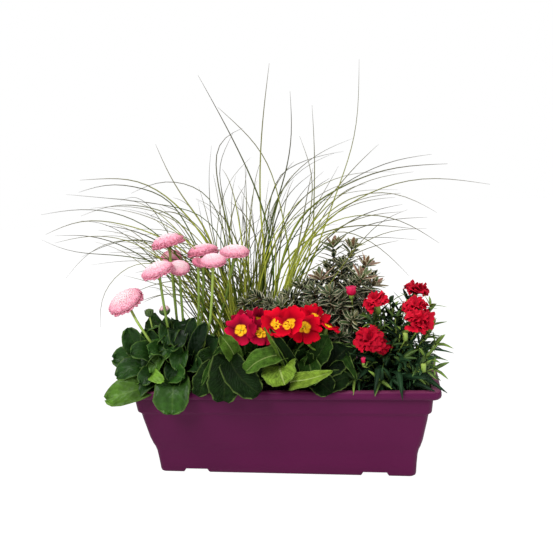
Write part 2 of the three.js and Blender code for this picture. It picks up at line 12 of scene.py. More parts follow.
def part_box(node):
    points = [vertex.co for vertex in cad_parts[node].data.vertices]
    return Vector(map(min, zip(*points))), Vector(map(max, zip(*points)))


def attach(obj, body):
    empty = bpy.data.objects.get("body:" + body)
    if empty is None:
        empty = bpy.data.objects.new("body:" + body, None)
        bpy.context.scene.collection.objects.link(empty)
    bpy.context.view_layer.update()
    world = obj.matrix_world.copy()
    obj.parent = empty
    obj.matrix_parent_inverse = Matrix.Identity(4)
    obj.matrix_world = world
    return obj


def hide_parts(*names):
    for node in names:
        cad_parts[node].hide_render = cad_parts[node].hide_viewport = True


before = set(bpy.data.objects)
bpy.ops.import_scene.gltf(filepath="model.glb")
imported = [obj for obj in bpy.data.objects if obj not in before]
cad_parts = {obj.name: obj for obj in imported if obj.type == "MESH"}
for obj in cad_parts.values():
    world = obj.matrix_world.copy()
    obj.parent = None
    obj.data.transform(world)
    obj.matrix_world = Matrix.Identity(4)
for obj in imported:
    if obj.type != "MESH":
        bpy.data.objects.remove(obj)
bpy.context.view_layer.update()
mm = 0.001
upright = np.array([0.0, 0.0, 1.0])
sideways = np.array([1.0, 0.0, 0.0])
backward = np.array([0.0, 1.0, 0.0])
goldenTurn = math.pi * (3 - math.sqrt(5))
print("frame loaded:", len(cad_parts), "nodes")


# Picking, shaping and keeping meshes.

def pick(piece, kind, wanted):
    # in edit mode, leaves only the corners, edges or faces that pass a test selected
    bpy.ops.mesh.select_mode(type=kind)
    bpy.ops.mesh.select_all(action="DESELECT")
    mesh = bmesh.from_edit_mesh(piece.data)
    for part in {"VERT": mesh.verts, "EDGE": mesh.edges, "FACE": mesh.faces}[kind]:
        if wanted(part):
            part.select_set(True)
    mesh.select_flush_mode()
    bmesh.update_edit_mesh(piece.data)


def facesOut():
    # in edit mode, joins corners that coincide and turns every face outwards
    bpy.ops.mesh.select_all(action="SELECT")
    bpy.ops.mesh.remove_doubles(threshold=1e-6)
    bpy.ops.mesh.normals_make_consistent(inside=False)


def useModifier(piece, kind, **settings):
    bpy.ops.object.select_all(action="DESELECT")
    piece.select_set(True)
    bpy.context.view_layer.objects.active = piece
    modifier = piece.modifiers.new(kind.title(), kind)
    for name, value in settings.items():
        setattr(modifier, name, value)
    bpy.ops.object.modifier_apply(modifier=modifier.name)


def settle(piece):
    # puts a piece's place, turn and size into its mesh
    bpy.ops.object.select_all(action="DESELECT")
    piece.select_set(True)
    bpy.context.view_layer.objects.active = piece
    bpy.ops.object.transform_apply(location=True, rotation=True, scale=True)


def asBlank(piece):
    # keeps a small shape as arrays, to be copied many times, and removes its object
    mesh = piece.data
    points = np.array([v.co for v in mesh.vertices])
    faces = [tuple(f.vertices) for f in mesh.polygons]
    rows, row = np.unique(np.round(points[:, 1], 4), return_inverse=True)
    widest = np.maximum([abs(points[abs(points[:, 1] - at) < 0.015, 0]).max() for at in rows], 1e-6)
    growth = np.stack([points[:, 0] / widest[row], points[:, 1]], 1)
    bpy.data.objects.remove(piece)
    return {"points": points, "faces": faces, "rows": rows, "row": row, "growth": growth}


# Laying copies of a blank along curves.

def alongCurve(points, shares):
    # places and directions at shares of the length of a smooth curve through points
    points = np.asarray(points, float)
    ends = np.vstack([2 * points[0] - points[1], points, 2 * points[-1] - points[-2]])
    t = np.linspace(0, 1, 9)[:-1, None]
    spans = [
        0.5 * (2 * b + (c - a) * t + (2 * a - 5 * b + 4 * c - d) * t**2 + (3 * b - a - 3 * c + d) * t**3)
        for a, b, c, d in zip(ends, ends[1:], ends[2:], ends[3:])
    ]
    dense = np.vstack([*spans, points[-1:]])
    length = np.r_[0, np.cumsum(np.linalg.norm(np.diff(dense, axis=0), axis=1))]
    length /= length[-1]
    slope = np.gradient(dense, length, axis=0)
    places = np.stack([np.interp(shares, length, dense[:, i]) for i in range(3)], 1)
    ahead = np.stack([np.interp(shares, length, slope[:, i]) for i in range(3)], 1)
    return places, ahead / np.linalg.norm(ahead, axis=1, keepdims=True)


def laid(blank, path, width, side, twist=0.0):
    # a blank's points along a path, with its width towards side, turning by twist up to its tip
    places, ahead = alongCurve(path, blank["rows"])
    across = side - (ahead @ side)[:, None] * ahead
    across /= np.linalg.norm(across, axis=1, keepdims=True)
    above = np.cross(across, ahead)
    if twist:
        turn = (twist * blank["rows"])[:, None]
        across, above = (
            across * np.cos(turn) + above * np.sin(turn),
            above * np.cos(turn) - across * np.sin(turn),
        )
    row = blank["row"]
    wide = blank["points"][:, :1] * width
    high = blank["points"][:, 2:] * width
    return places[row] + across[row] * wide + above[row] * high


def copyOf(blank, path, width, side, tint, number=0, twist=0.0):
    # a blank laid along a path, as gather takes it: number is its material's
    return laid(blank, path, width, side, twist), blank, tint, number


def gather(name, copies, materials):
    # one mesh of many copies, each (points, blank, tint, material number)
    points, faces, growth, numbers = [], [], [], []
    start = 0
    for placed, blank, tint, number in copies:
        points.append(placed)
        faces += [tuple(start + i for i in face) for face in blank["faces"]]
        growth.append(np.column_stack([blank["growth"], np.full(len(placed), tint)]))
        numbers += [number] * len(blank["faces"])
        start += len(placed)
    mesh = bpy.data.meshes.new(name)
    mesh.from_pydata(np.vstack(points).tolist(), [], faces)
    attribute = mesh.attributes.new("growth", "FLOAT_VECTOR", "POINT")
    attribute.data.foreach_set("vector", np.vstack(growth).ravel())
    mesh.polygons.foreach_set("material_index", numbers)
    mesh.shade_smooth()
    for material in materials:
        mesh.materials.append(material)
    piece = bpy.data.objects.new(name, mesh)
    bpy.context.scene.collection.objects.link(piece)
    return piece


def finishPiece(piece, slotName, *nodes):
    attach(piece, "root")
    if nodes:
        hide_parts(*nodes)


def unit(vector):
    vector = np.asarray(vector, float)
    return vector / np.linalg.norm(vector)


def axesOf(facing):
    # two directions across a facing direction
    first = unit(np.cross(facing, [0.3, 1.0, 0.2]))
    return first, np.cross(facing, first)


def around(turn, first=sideways, second=backward):
    # the direction at an angle from first towards second
    return first * math.cos(turn) + second * math.sin(turn)


def middleOf(node):
    low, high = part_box(node)
    return np.array((low + high) / 2)


# Blanks, shaped once each.

def drawRod(sides, stations):
    # a closed rod one unit long: each station is (share of its length, half width, half thickness)
    bpy.ops.mesh.primitive_circle_add(vertices=sides, radius=1, fill_type="NGON")
    rod = bpy.context.object
    bpy.ops.object.mode_set(mode="EDIT")
    along, wide, thick = stations[0]
    bpy.ops.transform.resize(value=(wide, thick, 1))
    for nextAlong, nextWide, nextThick in stations[1:]:
        bpy.ops.mesh.extrude_region_move(TRANSFORM_OT_translate={"value": (0, 0, nextAlong - along)})
        bpy.ops.transform.resize(value=(nextWide / wide, nextThick / thick, 1))
        along, wide, thick = nextAlong, nextWide, nextThick
    facesOut()
    bpy.ops.object.mode_set(mode="OBJECT")
    rod.rotation_euler.x = -math.pi / 2
    settle(rod)
    return rod


def drawLeaf(
    columns, rows, outline, fold=0.0, cup=0.0, quilt=0.0, ruffle=0.0, teeth=0.0, thickness=0.02, crowd=1.5
):
    # a leaf one unit long and one wide: its outline is [(share of length, share of width)]
    bpy.ops.mesh.primitive_grid_add(x_subdivisions=columns, y_subdivisions=rows, size=1, location=(0, 0.5, 0))
    piece = bpy.context.object
    settle(piece)
    shares = sorted({round(v.co.y, 4) for v in piece.data.vertices})
    steps = sorted({round(abs(v.co.x), 4) for v in piece.data.vertices})
    at, width = zip(*outline)
    bpy.ops.object.mode_set(mode="EDIT")
    for number, step in enumerate(steps):  # fold along the midrib, cup and ruffle towards the edge
        def onStep(v):
            return abs(abs(v.co.x) - step) < 1e-3

        lift = fold * step * 2 + cup * (step * 2) ** 2
        pick(piece, "VERT", onStep)
        bpy.ops.transform.translate(value=(0, 0, lift))
        if quilt:
            pick(piece, "VERT", lambda v: onStep(v) and (round(v.co.y * rows) + number) % 2)
            bpy.ops.transform.translate(value=(0, 0, quilt if number else 0))
        if ruffle:
            pick(piece, "VERT", lambda v: onStep(v) and round(v.co.y * rows) % 4 < 2)
            bpy.ops.transform.translate(value=(0, 0, ruffle * (step * 2) ** 2))
    if teeth:  # every other point of the edge is drawn in
        pick(piece, "VERT", lambda v: abs(v.co.x) > 0.499 and round(v.co.y * rows) % 2)
        bpy.ops.transform.resize(value=(1 - teeth, 1, 1), center_override=(0, 0.5, 0))
    for share in reversed(shares):  # rows crowd towards the tip, to round it
        pick(piece, "VERT", lambda v: abs(v.co.y - share) < 1e-3)
        moved = 1 - (1 - share) ** crowd
        bpy.ops.transform.resize(value=(np.interp(moved, at, width), 1, 1), center_override=(0, share, 0))
        bpy.ops.transform.translate(value=(0, moved - share, 0))
    bpy.ops.object.mode_set(mode="OBJECT")
    useModifier(piece, "SOLIDIFY", thickness=thickness, offset=0)
    return piece


# Materials.

def linear(hexColour):
    parts = [int(hexColour[i:i + 2], 16) / 255 for i in (1, 3, 5)]
    return (*[c / 12.92 if c <= 0.04045 else ((c + 0.055) / 1.055) ** 2.4 for c in parts], 1)


def feed(material, node, inputs):
    # sets or links a node's inputs; another node stands for its first output
    for socket, value in inputs.items():
        if isinstance(value, bpy.types.Node):
            value = value.outputs[0]
        if isinstance(value, bpy.types.NodeSocket):
            material.node_tree.links.new(value, node.inputs[socket])
        else:
            node.inputs[socket].default_value = linear(value) if isinstance(value, str) else value


def addNode(material, kind, inputs=None, stops=None, **settings):
    # one node with its settings and links; stops are a colour ramp's (position, colour)
    node = material.node_tree.nodes.new("ShaderNode" + kind)
    for name, value in settings.items():
        setattr(node, name, value)
    if stops:
        while len(node.color_ramp.elements) < len(stops):
            node.color_ramp.elements.new(1)
        for element, (position, colour) in zip(node.color_ramp.elements, stops):
            element.position = position
            element.color = linear(colour)
    feed(material, node, inputs or {})
    return node


def newMaterial(name, constants):
    # a Principled shader with its constants set on its own sockets
    material = bpy.data.materials.new(name)
    material.use_nodes = True
    shader = material.node_tree.nodes["Principled BSDF"]
    feed(material, shader, constants)
    return material, shader


def growthOf(material):
    # how far across, how far along and which copy, from the piece's own attribute
    read = addNode(material, "Attribute", attribute_name="growth")
    parts = addNode(material, "SeparateXYZ", {"Vector": read.outputs["Vector"]})
    return [parts.outputs[axis] for axis in "XYZ"]


# Moulded polypropylene, dyed through: an even, slightly waxy plum with soft broad highlights, and a painted
# highlight along its lip.
plastic = {
    "colour": "#581040", "shade": "#520F3C", "lip": "#84405F", "lipMm": (145, 146.8), "grainMm": 0.9,
    "flowMm": 160
}


def mouldedPolypropylene():
    material, shader = newMaterial(
        "mouldedPolypropylene", {"Roughness": 0.42, "IOR": 1.49, "Specular IOR Level": 0.15}
    )
    place = addNode(material, "TexCoord").outputs["Object"]
    flow = addNode(material, "TexNoise", {"Vector": place, "Scale": 1000 / plastic["flowMm"], "Detail": 2})
    grain = addNode(material, "TexNoise", {"Vector": place, "Scale": 1000 / plastic["grainMm"], "Detail": 2})
    colour = addNode(
        material, "ValToRGB", {"Fac": flow}, stops=[(0.35, plastic["shade"]), (0.65, plastic["colour"])]
    )
    height = addNode(material, "SeparateXYZ", {"Vector": place}).outputs["Z"]
    # painted highlight: the plum turns paler towards the top of the lip
    low, high = plastic["lipMm"]
    lipHighlightShare = addNode(material, "MapRange", {
        "Value": height, "From Min": low * mm, "From Max": high * mm, "To Min": 0.0, "To Max": 0.5
    })
    lipHighlighted = addNode(material, "MixRGB", {"Fac": lipHighlightShare, "Color1": colour, "Color2": plastic["lip"]})
    bump = addNode(material, "Bump", {"Height": grain, "Strength": 0.05, "Distance": 0.0003})
    feed(material, shader, {"Base Color": lipHighlighted, "Normal": bump})
    return material


# Damp peat-free compost: near black, crumbly, with lighter bark fibre.
def dampCompost():
    material, shader = newMaterial("dampCompost", {"Roughness": 0.95, "IOR": 1.4})
    place = addNode(material, "TexCoord").outputs["Object"]
    crumbs = addNode(material, "TexVoronoi", {"Vector": place, "Scale": 220})
    speck = addNode(material, "TexNoise", {"Vector": place, "Scale": 340, "Detail": 4})
    colour = addNode(
        material, "ValToRGB", {"Fac": speck}, stops=[(0.3, "#120D0A"), (0.55, "#2B2019"), (0.72, "#5A4432")]
    )
    bump = addNode(material, "Bump", {"Height": crumbs, "Strength": 0.8, "Distance": 0.003})
    feed(material, shader, {"Base Color": colour, "Normal": bump})
    return material


# A grass blade: olive at its foot, greener in the middle and drying to grey-brown at its tip; each blade is
# mixed at random between a dark and a fresh ramp, partly its own colour and partly painted shade and
# highlight.
def grassBlade():
    material, shader = newMaterial("grassBlade", {"Roughness": 0.5, "IOR": 1.45, "Specular IOR Level": 0.2})
    _, along, tint = growthOf(material)
    freshAndLit = addNode(material, "ValToRGB", {"Fac": along}, stops=[
        (0.0, "#B0B64A"), (0.3, "#BEC648"), (0.52, "#A4AC42"), (0.78, "#70703E"), (1.0, "#605848")
    ])
    dark = addNode(material, "ValToRGB", {"Fac": along}, stops=[
        (0.0, "#4A6020"), (0.3, "#56701F"), (0.52, "#546626"), (0.78, "#4C4C30"), (1.0, "#50483C")
    ])
    # a random mix per blade: partly real tone, partly painted shade and highlight
    share = addNode(material, "ValToRGB", {"Fac": tint}, stops=[(0.15, "#000000"), (0.55, "#FFFFFF")])
    colour = addNode(material, "MixRGB", {"Fac": share, "Color1": dark, "Color2": freshAndLit})
    feed(material, shader, {"Base Color": colour})
    return material


plumPlastic = mouldedPolypropylene()
compostEarth = dampCompost()
bladeGreen = grassBlade()


# The window box.

windowBox = {
    "wallMm": [  # height, half length, half depth
        (0, 208, 68), (1.5, 209.4, 69.4), (4, 210, 70), (20, 211.3, 70.8), (36, 213, 72), (44, 215, 73.2),
        (51, 218, 75), (62, 221.6, 76.9), (80, 225.5, 79), (95, 228.8, 80.9), (103, 230.2, 81.8),
        (106, 231, 82.4), (109, 235, 84.8), (111, 235.8, 85.2), (130, 238, 86.5),
    ],
    "rimMm": [  # height, then how far inside the full 500 by 190
        (144, 3), (134.5, 4.5), (133.5, 3), (136, 0.8), (139, 0), (143, 0.1), (144.8, 0.6), (146.2, 1.6),
        (147, 3),
    ],
    "rimHalf": (250, 95),
    "wall": 3,
    "corner": 9,  # this and the rest in millimetres
    "ridgeHalfDepth": 68.5,  # of the ridge inside the box over a channel
    "edgeMm": 0.5,
    "channel": {"x": 146, "mouth": 45, "roof": 37, "height": 6},
    "drain": {"radius": 4, "y": 30},
}


def ringUp(now, then):
    # extrudes the picked face from one (height, half length, half depth) to the next
    bpy.ops.mesh.extrude_region_move(TRANSFORM_OT_translate={"value": (0, 0, (then[0] - now[0]) * mm)})
    bpy.ops.transform.resize(value=(then[1] / now[1], then[2] / now[2], 1))


def channelBar(side, grown, halfDepth):
    # the trapezoid bar of one cross channel, grown by a wall
    channel = windowBox["channel"]
    bpy.ops.mesh.primitive_cube_add(
        size=1, location=(side * channel["x"] * mm, 0, (channel["height"] + grown) / 2 * mm)
    )
    bar = bpy.context.object
    bar.scale = ((channel["mouth"] + 2 * grown) * mm, 2 * halfDepth * mm, (channel["height"] + grown) * mm)
    settle(bar)
    bpy.ops.object.mode_set(mode="EDIT")
    pick(bar, "FACE", lambda f: f.normal.z > 0.9)
    narrower = (channel["roof"] + 2 * grown) / (channel["mouth"] + 2 * grown)
    bpy.ops.transform.resize(value=(narrower, 1, 1))
    pick(bar, "FACE", lambda f: f.normal.z < -0.9)
    bpy.ops.transform.translate(value=(0, 0, (1 if grown else -1) * mm))
    bpy.ops.object.mode_set(mode="OBJECT")
    return bar


def combine(piece, other, operation):
    useModifier(piece, "BOOLEAN", object=other, operation=operation, solver="EXACT")
    bpy.data.objects.remove(other)


def makeWindowBox():
    wall = windowBox["wall"]
    outside = windowBox["wallMm"]
    halfX, halfY = windowBox["rimHalf"]
    last = outside[-1]
    rim = [(144, last[1], last[2])] + [(z, halfX - inset, halfY - inset) for z, inset in windowBox["rimMm"]]
    inside = [(z, x - wall, y - wall) for z, x, y in reversed(outside) if z >= 4]
    inside = [(147, last[1] - wall + 1, last[2] - wall + 1), (146, last[1] - wall, last[2] - wall)] + inside
    rings = [*outside, *rim, *inside, (wall, outside[2][1] - wall - 1, outside[2][2] - wall - 1)]
    bpy.ops.mesh.primitive_plane_add(size=1)
    piece = bpy.context.object
    piece.name = "plumWindowBox"
    piece.scale = (2 * rings[0][1] * mm, 2 * rings[0][2] * mm, 1)
    settle(piece)
    bpy.ops.object.mode_set(mode="EDIT")
    bpy.ops.mesh.select_all(action="SELECT")
    bpy.ops.mesh.bevel(offset=windowBox["corner"] * mm, segments=7, affect="VERTICES")
    bpy.ops.mesh.select_all(action="SELECT")
    for now, then in zip(rings, rings[1:]):
        ringUp(now, then)
    facesOut()
    bpy.ops.object.mode_set(mode="OBJECT")
    channel, drain = windowBox["channel"], windowBox["drain"]
    for side in (-1, 1):
        combine(piece, channelBar(side, wall, windowBox["ridgeHalfDepth"]), "UNION")
        combine(piece, channelBar(side, 0, halfY), "DIFFERENCE")
        for y in (-drain["y"], drain["y"]):
            spot = (side * channel["x"] * mm, y * mm, 0)
            bpy.ops.mesh.primitive_cylinder_add(
                vertices=24, radius=drain["radius"] * mm, depth=0.03, location=spot
            )
            combine(piece, bpy.context.object, "DIFFERENCE")
    useModifier(
        piece, "BEVEL", width=windowBox["edgeMm"] * mm, segments=2, limit_method="ANGLE",
        angle_limit=math.radians(50)
    )
    bpy.ops.object.shade_smooth_by_angle(angle=math.radians(35))
    piece.data.materials.clear()
    piece.data.materials.append(plumPlastic)
    return piece


finishPiece(makeWindowBox(), "plum_plastic", "window_box")
print("window box done")


# Compost.

compost = {"crumbs": 1500, "sizeMm": (3, 9), "halfLength": 229, "halfDepth": 77, "height": 130, "seed": 3}


def makeCrumbs():
    bpy.ops.mesh.primitive_ico_sphere_add(subdivisions=1, radius=0.5)
    crumb = bpy.context.object
    bpy.ops.object.mode_set(mode="EDIT")
    bpy.ops.transform.vertex_random(offset=0.14, uniform=0.5, seed=compost["seed"])
    bpy.ops.object.mode_set(mode="OBJECT")
    blank = asBlank(crumb)
    draw = np.random.default_rng(compost["seed"])
    copies = []
    for _ in range(compost["crumbs"]):
        size = draw.uniform(*compost["sizeMm"]) * mm
        across = draw.uniform(-1, 1) * compost["halfLength"]
        back = draw.uniform(-1, 1) * compost["halfDepth"]
        spot = np.array([across, back, compost["height"]]) * mm
        turn = Quaternion(draw.normal(size=4)).normalized().to_matrix()
        shape = blank["points"] * [1, draw.uniform(0.5, 1), draw.uniform(0.5, 1)]
        copies.append((shape @ np.array(turn) * size + spot, blank, draw.random(), 0))
    return gather("compostCrumbs", copies, [compostEarth])


finishPiece(makeCrumbs(), "compost")
for name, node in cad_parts.items():
    if name == "compost" or name.endswith("root_ball"):
        for slot in node.material_slots:
            slot.material = compostEarth
print("compost done")


# Arching grass.

grass = {
    "crown": (-62, 36, 131),
    "footMm": 34,  # how far from the crown's middle the filling blades may start
    "bladeMm": (2.2, 4.2),
    "taper": ([0, 0.08, 0.22, 0.4, 0.6, 0.8, 0.93, 1], [0.6, 0.85, 1.0, 0.96, 0.8, 0.56, 0.33, 0.12]),
    "stations": 28,
    "twist": 0.9,  # how much a blade turns about itself, in radians
    "easing": 14,  # how often its bends are eased
    "keyFootMm": 26,  # how far from the crown's middle the key blades start
    "keyWidth": 1.45,  # how much wider than listed the key blades are drawn
    "spread": 0.12,  # how far a blade's foot moves towards its tip
    "swayMm": (24, 15, 6),  # how far a filling blade strays from its arch
    "families": [  # how many, the box their tips end in, and how far they hump over
        (38, (-400, -30, 330), (-210, 200, 450), 0.22),
        (30, (-300, 0, 250), (-170, 180, 360), 0.3),
        (27, (-190, 0, 370), (-40, 215, 520), 0.1),
        (27, (-60, 20, 370), (90, 225, 520), 0.1),
        (17, (70, -40, 330), (240, 190, 470), 0.2),
        (38, (-170, 0, 230), (30, 120, 360), 0.15),
    ],
    "seed": 11,
    "keyBlades": [  # width, then points up the blade in millimetres, after its foot
        (2.5, (-17, 47, 295), (-29, 51, 419), (-74, 56, 537), (-128, 60, 648)),
        (3.6, (-31, 49, 295), (-35, 55, 418), (-26, 60, 542), (-6, 66, 658)),
        (2.8, (8, 58, 293), (-1, 68, 404), (-28, 79, 513), (-106, 90, 596)),
        (2.6, (-70, 40, 276), (-94, 60, 380), (-116, 80, 489), (-112, 90, 545), (-67, 100, 559)),
        (2.0, (-98, 68, 422), (-117, 94, 492), (-89, 120, 552)),
        (2.0, (-121, 54, 371), (-125, 63, 424), (-128, 71, 478), (-120, 80, 532)),
        (2.6, (-107, 68, 291), (-162, 85, 398), (-260, 103, 479), (-389, 120, 486)),
        (2.2, (-180, 61, 424), (-241, 74, 461), (-312, 87, 479), (-384, 100, 464)),
        (2.2, (-114, 72, 388), (-207, 91, 431), (-314, 110, 448), (-424, 130, 461)),
        (2.6, (-170, 58, 393), (-232, 68, 429), (-306, 79, 440), (-379, 90, 420)),
        (2.2, (-106, 50, 418), (-147, 57, 464), (-209, 64, 480), (-270, 70, 458)),
        (3.2, (-134, 78, 372), (-174, 102, 425), (-213, 126, 480), (-244, 150, 543)),
        (3.4, (-120, 45, 300), (-213, 52, 378), (-288, 60, 404), (-368, 67, 416), (-445, 75, 390)),
        (2.2, (-150, 45, 300), (-265, 50, 346), (-333, 57, 353), (-401, 64, 359), (-452, 70, 383)),
        (2.4, (-130, 42, 310), (-238, 47, 378), (-285, 51, 377), (-331, 56, 368), (-373, 60, 349)),
        (1.4, (-150, 44, 320), (-260, 46, 380), (-333, 47, 369), (-373, 54, 345), (-407, 60, 311)),
        (1.8, (-140, 42, 290), (-249, 44, 342), (-301, 46, 317), (-340, 48, 277), (-346, 50, 219)),
        (2.0, (-140, 38, 262), (-221, 40, 296), (-253, 40, 306), (-286, 40, 315)),
        (2.8, (35, 44, 349), (119, 46, 427), (230, 48, 461), (340, 50, 443)),
        (3.4, (15, 48, 382), (89, 54, 442), (178, 59, 476), (276, 64, 477)),
        (2.2, (0, 50, 340), (76, 54, 434), (129, 63, 466), (188, 71, 490), (252, 80, 495)),
        (2.4, (0, 40, 310), (66, 36, 399), (125, 34, 438), (195, 32, 439), (255, 30, 402)),
        (2.6, (38, 36, 358), (108, 34, 402), (190, 32, 399), (258, 30, 353)),
        (2.4, (42, 33, 351), (102, 29, 385), (164, 24, 353), (210, 20, 303)),
        (2.6, (43, 58, 314), (87, 68, 423), (131, 79, 535), (140, 90, 656)),
        (2.6, (44, 64, 334), (53, 80, 417), (58, 95, 502), (56, 110, 590)),
        (3.0, (-27, 68, 373), (-2, 85, 450), (19, 103, 531), (18, 120, 617)),
        (2.2, (-12, 78, 426), (17, 102, 475), (63, 126, 512), (120, 150, 531)),
        (2.2, (-20, 75, 448), (9, 97, 484), (54, 118, 503), (104, 140, 508)),
        (2.2, (20, 60, 340), (76, 64, 427), (103, 80, 458), (132, 95, 489), (166, 110, 517)),
        (2.2, (45, 61, 396), (70, 80, 439), (96, 100, 484)),
        (2.0, (35, 66, 360), (55, 72, 446), (47, 101, 493), (28, 130, 540)),
    ],
}


def makeGrass():
    shares = np.linspace(0, 1, grass["stations"])
    widths = np.interp(shares, *grass["taper"])
    blank = asBlank(drawRod(3, [(share, 0.5 * wide, 0.36 * wide) for share, wide in zip(shares, widths)]))
    draw = np.random.default_rng(grass["seed"])
    crown = np.array(grass["crown"], float)
    copies = []

    def grow(path, width):
        for _ in range(grass["easing"]):
            path[1:-1] = (path[:-2] + 2 * path[1:-1] + path[2:]) / 4
        side = unit(draw.normal(size=3))
        twist = draw.normal() * grass["twist"]
        copies.append(copyOf(blank, path * mm, width * mm, side, draw.random(), twist=twist))

    for width, *points in grass["keyBlades"]:
        lean = unit(np.array(points[0]) - crown)
        foot = crown + lean * [1, 1, 0] * grass["keyFootMm"] + draw.normal(size=3) * [6, 6, 0]
        grow(alongCurve([foot, *points], np.linspace(0, 1, 40))[0], width * grass["keyWidth"])
    for count, low, high, hump in grass["families"]:
        for _ in range(count):
            tip = draw.uniform(low, high)
            turn, out = draw.uniform(0, 2 * math.pi), math.sqrt(draw.random()) * grass["footMm"]
            foot = crown + around(turn) * out + sideways * grass["spread"] * (tip[0] - crown[0])
            climb = np.linspace(0, 1, 9)[:, None]
            span = tip - foot
            reach = np.linalg.norm(span[:2])
            path = foot + climb**1.6 * span * [1, 1, 0] + (1 - (1 - climb) ** 1.5) * span * [0, 0, 1]
            arch = upright * reach * hump * draw.uniform(0.3, 1.2) + draw.normal(size=3) * grass["swayMm"]
            path += np.sin(climb * math.pi) * arch
            grow(alongCurve(path, np.linspace(0, 1, 30))[0], draw.uniform(*grass["bladeMm"]))
    return gather("archingGrass", copies, [bladeGreen])


finishPiece(makeGrass(), "grass_green", *[f"grass_shoot_{i}" for i in range(1, 9)])
print("grass done")


# Green leaves.

# Living leaf: a satin skin over soft green, puckered between its veins, with painted shade in the furrows
# along its veins and towards its foot, a paler midrib and a thin painted highlight along its edge. Each
# leaf's tint sets how dark its green is, partly its own colour and partly painted shade.
def leafSkin(name, look):
    material, shader = newMaterial(
        name, {"Roughness": look["roughness"], "IOR": 1.42, "Specular IOR Level": look["gloss"]}
    )
    across, along, tint = growthOf(material)
    place = addNode(material, "TexCoord").outputs["Object"]
    # each leaf's tint picks its green from dark to light: partly its own colour, partly painted shade on
    # leaves that sit in shadow
    body = addNode(material, "ValToRGB", {"Fac": tint}, stops=[
        (0.0, look["dark"]), (0.5, look["mid"]), (1.0, look["light"])
    ])
    fromMidrib = addNode(material, "Math", {0: across}, operation="ABSOLUTE")
    mottle = addNode(material, "TexNoise", {"Vector": place, "Scale": 1000 / look["mottleMm"], "Detail": 3})
    wander = addNode(material, "Math", {0: mottle, 1: look["wander"]}, operation="MULTIPLY")
    slant = addNode(
        material, "Math", {0: fromMidrib, 1: -look["veinSlant"], 2: wander}, operation="MULTIPLY_ADD"
    )
    run = addNode(material, "Math", {0: along, 1: look["veins"], 2: slant}, operation="MULTIPLY_ADD")
    wave = addNode(material, "Math", {0: run, 1: 0.5}, operation="PINGPONG")
    patch = addNode(material, "MapRange", {
        "Value": mottle, "From Min": 0.3, "From Max": 0.7, "To Min": 0.6, "To Max": 1.35
    })
    # light leaves show their veins more: the painted shade in their furrows and their paler midrib
    clearer = addNode(material, "MapRange", {"Value": tint, "From Min": 0.15, "To Min": 0.03, "To Max": 1.0})
    # painted shade: darker along the sunken furrows of the veins
    furrowShade = addNode(material, "MapRange", {
        "Value": wave, "From Min": 0.0, "From Max": 0.3, "To Min": -look["furrowShadeShow"], "To Max": 0.0
    })
    lit = addNode(material, "Math", {0: furrowShade, 1: clearer, 2: 1.0}, operation="MULTIPLY_ADD")
    # painted shade: each leaf darker towards its foot, inside the plant, and lighter at its tip
    shadeTowardsFoot = addNode(material, "MapRange", {
        "Value": along, "From Min": 0.42, "From Max": 0.98, "To Min": look["inner"], "To Max": 1.2
    })
    patched = addNode(material, "Math", {0: patch, 1: lit}, operation="MULTIPLY")
    value = addNode(material, "Math", {0: patched, 1: shadeTowardsFoot}, operation="MULTIPLY")
    varied = addNode(material, "HueSaturation", {"Value": value, "Color": body})
    midrib = addNode(material, "MapRange", {
        "Value": fromMidrib, "From Min": 0.02, "From Max": 0.08, "To Min": look["ribShow"], "To Max": 0.0
    })
    shown = addNode(material, "Math", {0: midrib, 1: clearer}, operation="MULTIPLY")
    ribbed = addNode(material, "MixRGB", {"Fac": shown, "Color1": varied, "Color2": look["rib"]})
    # painted highlight: a thin pale line in the edge colour along the leaf's edge
    edge = addNode(material, "MapRange", {
        "Value": fromMidrib, "From Min": 0.88, "From Max": 0.99, "To Min": 0.0, "To Max": look["edgeHighlightShow"]
    })
    edgeHighlighted = addNode(material, "MixRGB", {"Fac": edge, "Color1": ribbed, "Color2": look["edge"]})
    pucker = addNode(material, "TexNoise", {"Vector": place, "Scale": 1000 / look["puckerMm"], "Detail": 1})
    relief = addNode(material, "Math", {0: wave, 1: look["relief"], 2: pucker}, operation="MULTIPLY_ADD")
    bump = addNode(material, "Bump", {"Height": relief, "Strength": 0.8, "Distance": look["reliefMm"] * mm})
    feed(material, shader, {"Base Color": edgeHighlighted, "Normal": bump})
    return material


# A colour ramp along a petal or stalk, shifted by each copy's tint.
def softRamp(name, alongStops, tintStops, share, constants):
    material, shader = newMaterial(name, constants)
    _, along, tint = growthOf(material)
    first = addNode(material, "ValToRGB", {"Fac": along}, stops=alongStops)
    second = addNode(material, "ValToRGB", {"Fac": tint}, stops=tintStops)
    colour = addNode(material, "MixRGB", {"Fac": share, "Color1": first, "Color2": second})
    feed(material, shader, {"Base Color": colour})
    return material


# Fleshy stalk: smooth, pale yellow-green, a little glossy.
freshStalk = softRamp(
    "freshStalk",
    [(0, "#4F7026"), (0.6, "#7F9F3C"), (1, "#9AB050")],
    [(0, "#4E6B28"), (1, "#A4BC58")],
    0.4,
    {"Roughness": 0.42, "IOR": 1.42},
)

stalkBlank = asBlank(drawRod(7, [
    (0, 0.56, 0.56), (0.2, 0.5, 0.5), (0.4, 0.47, 0.47), (0.6, 0.46, 0.46), (0.8, 0.46, 0.46),
    (0.95, 0.48, 0.48), (1, 0.6, 0.6)
]))
stalkSide = np.array([1.0, 0.1, 0.0])


def growLeaf(blank, crown, tip, bends, width, tint, face, start=6):
    # one leaf, in millimetres: from its crown over its bends to its tip, its blade turned to face
    crown, tip, bends = np.array(crown, float), np.array(tip, float), np.atleast_2d(np.array(bends, float))
    foot = crown + unit((tip - crown) * [1, 1, 0] + [1e-3, 0, 0]) * start
    side = np.cross(tip - bends[0], face)
    return copyOf(blank, np.vstack([foot, bends, tip]) * mm, width * mm, side, tint)


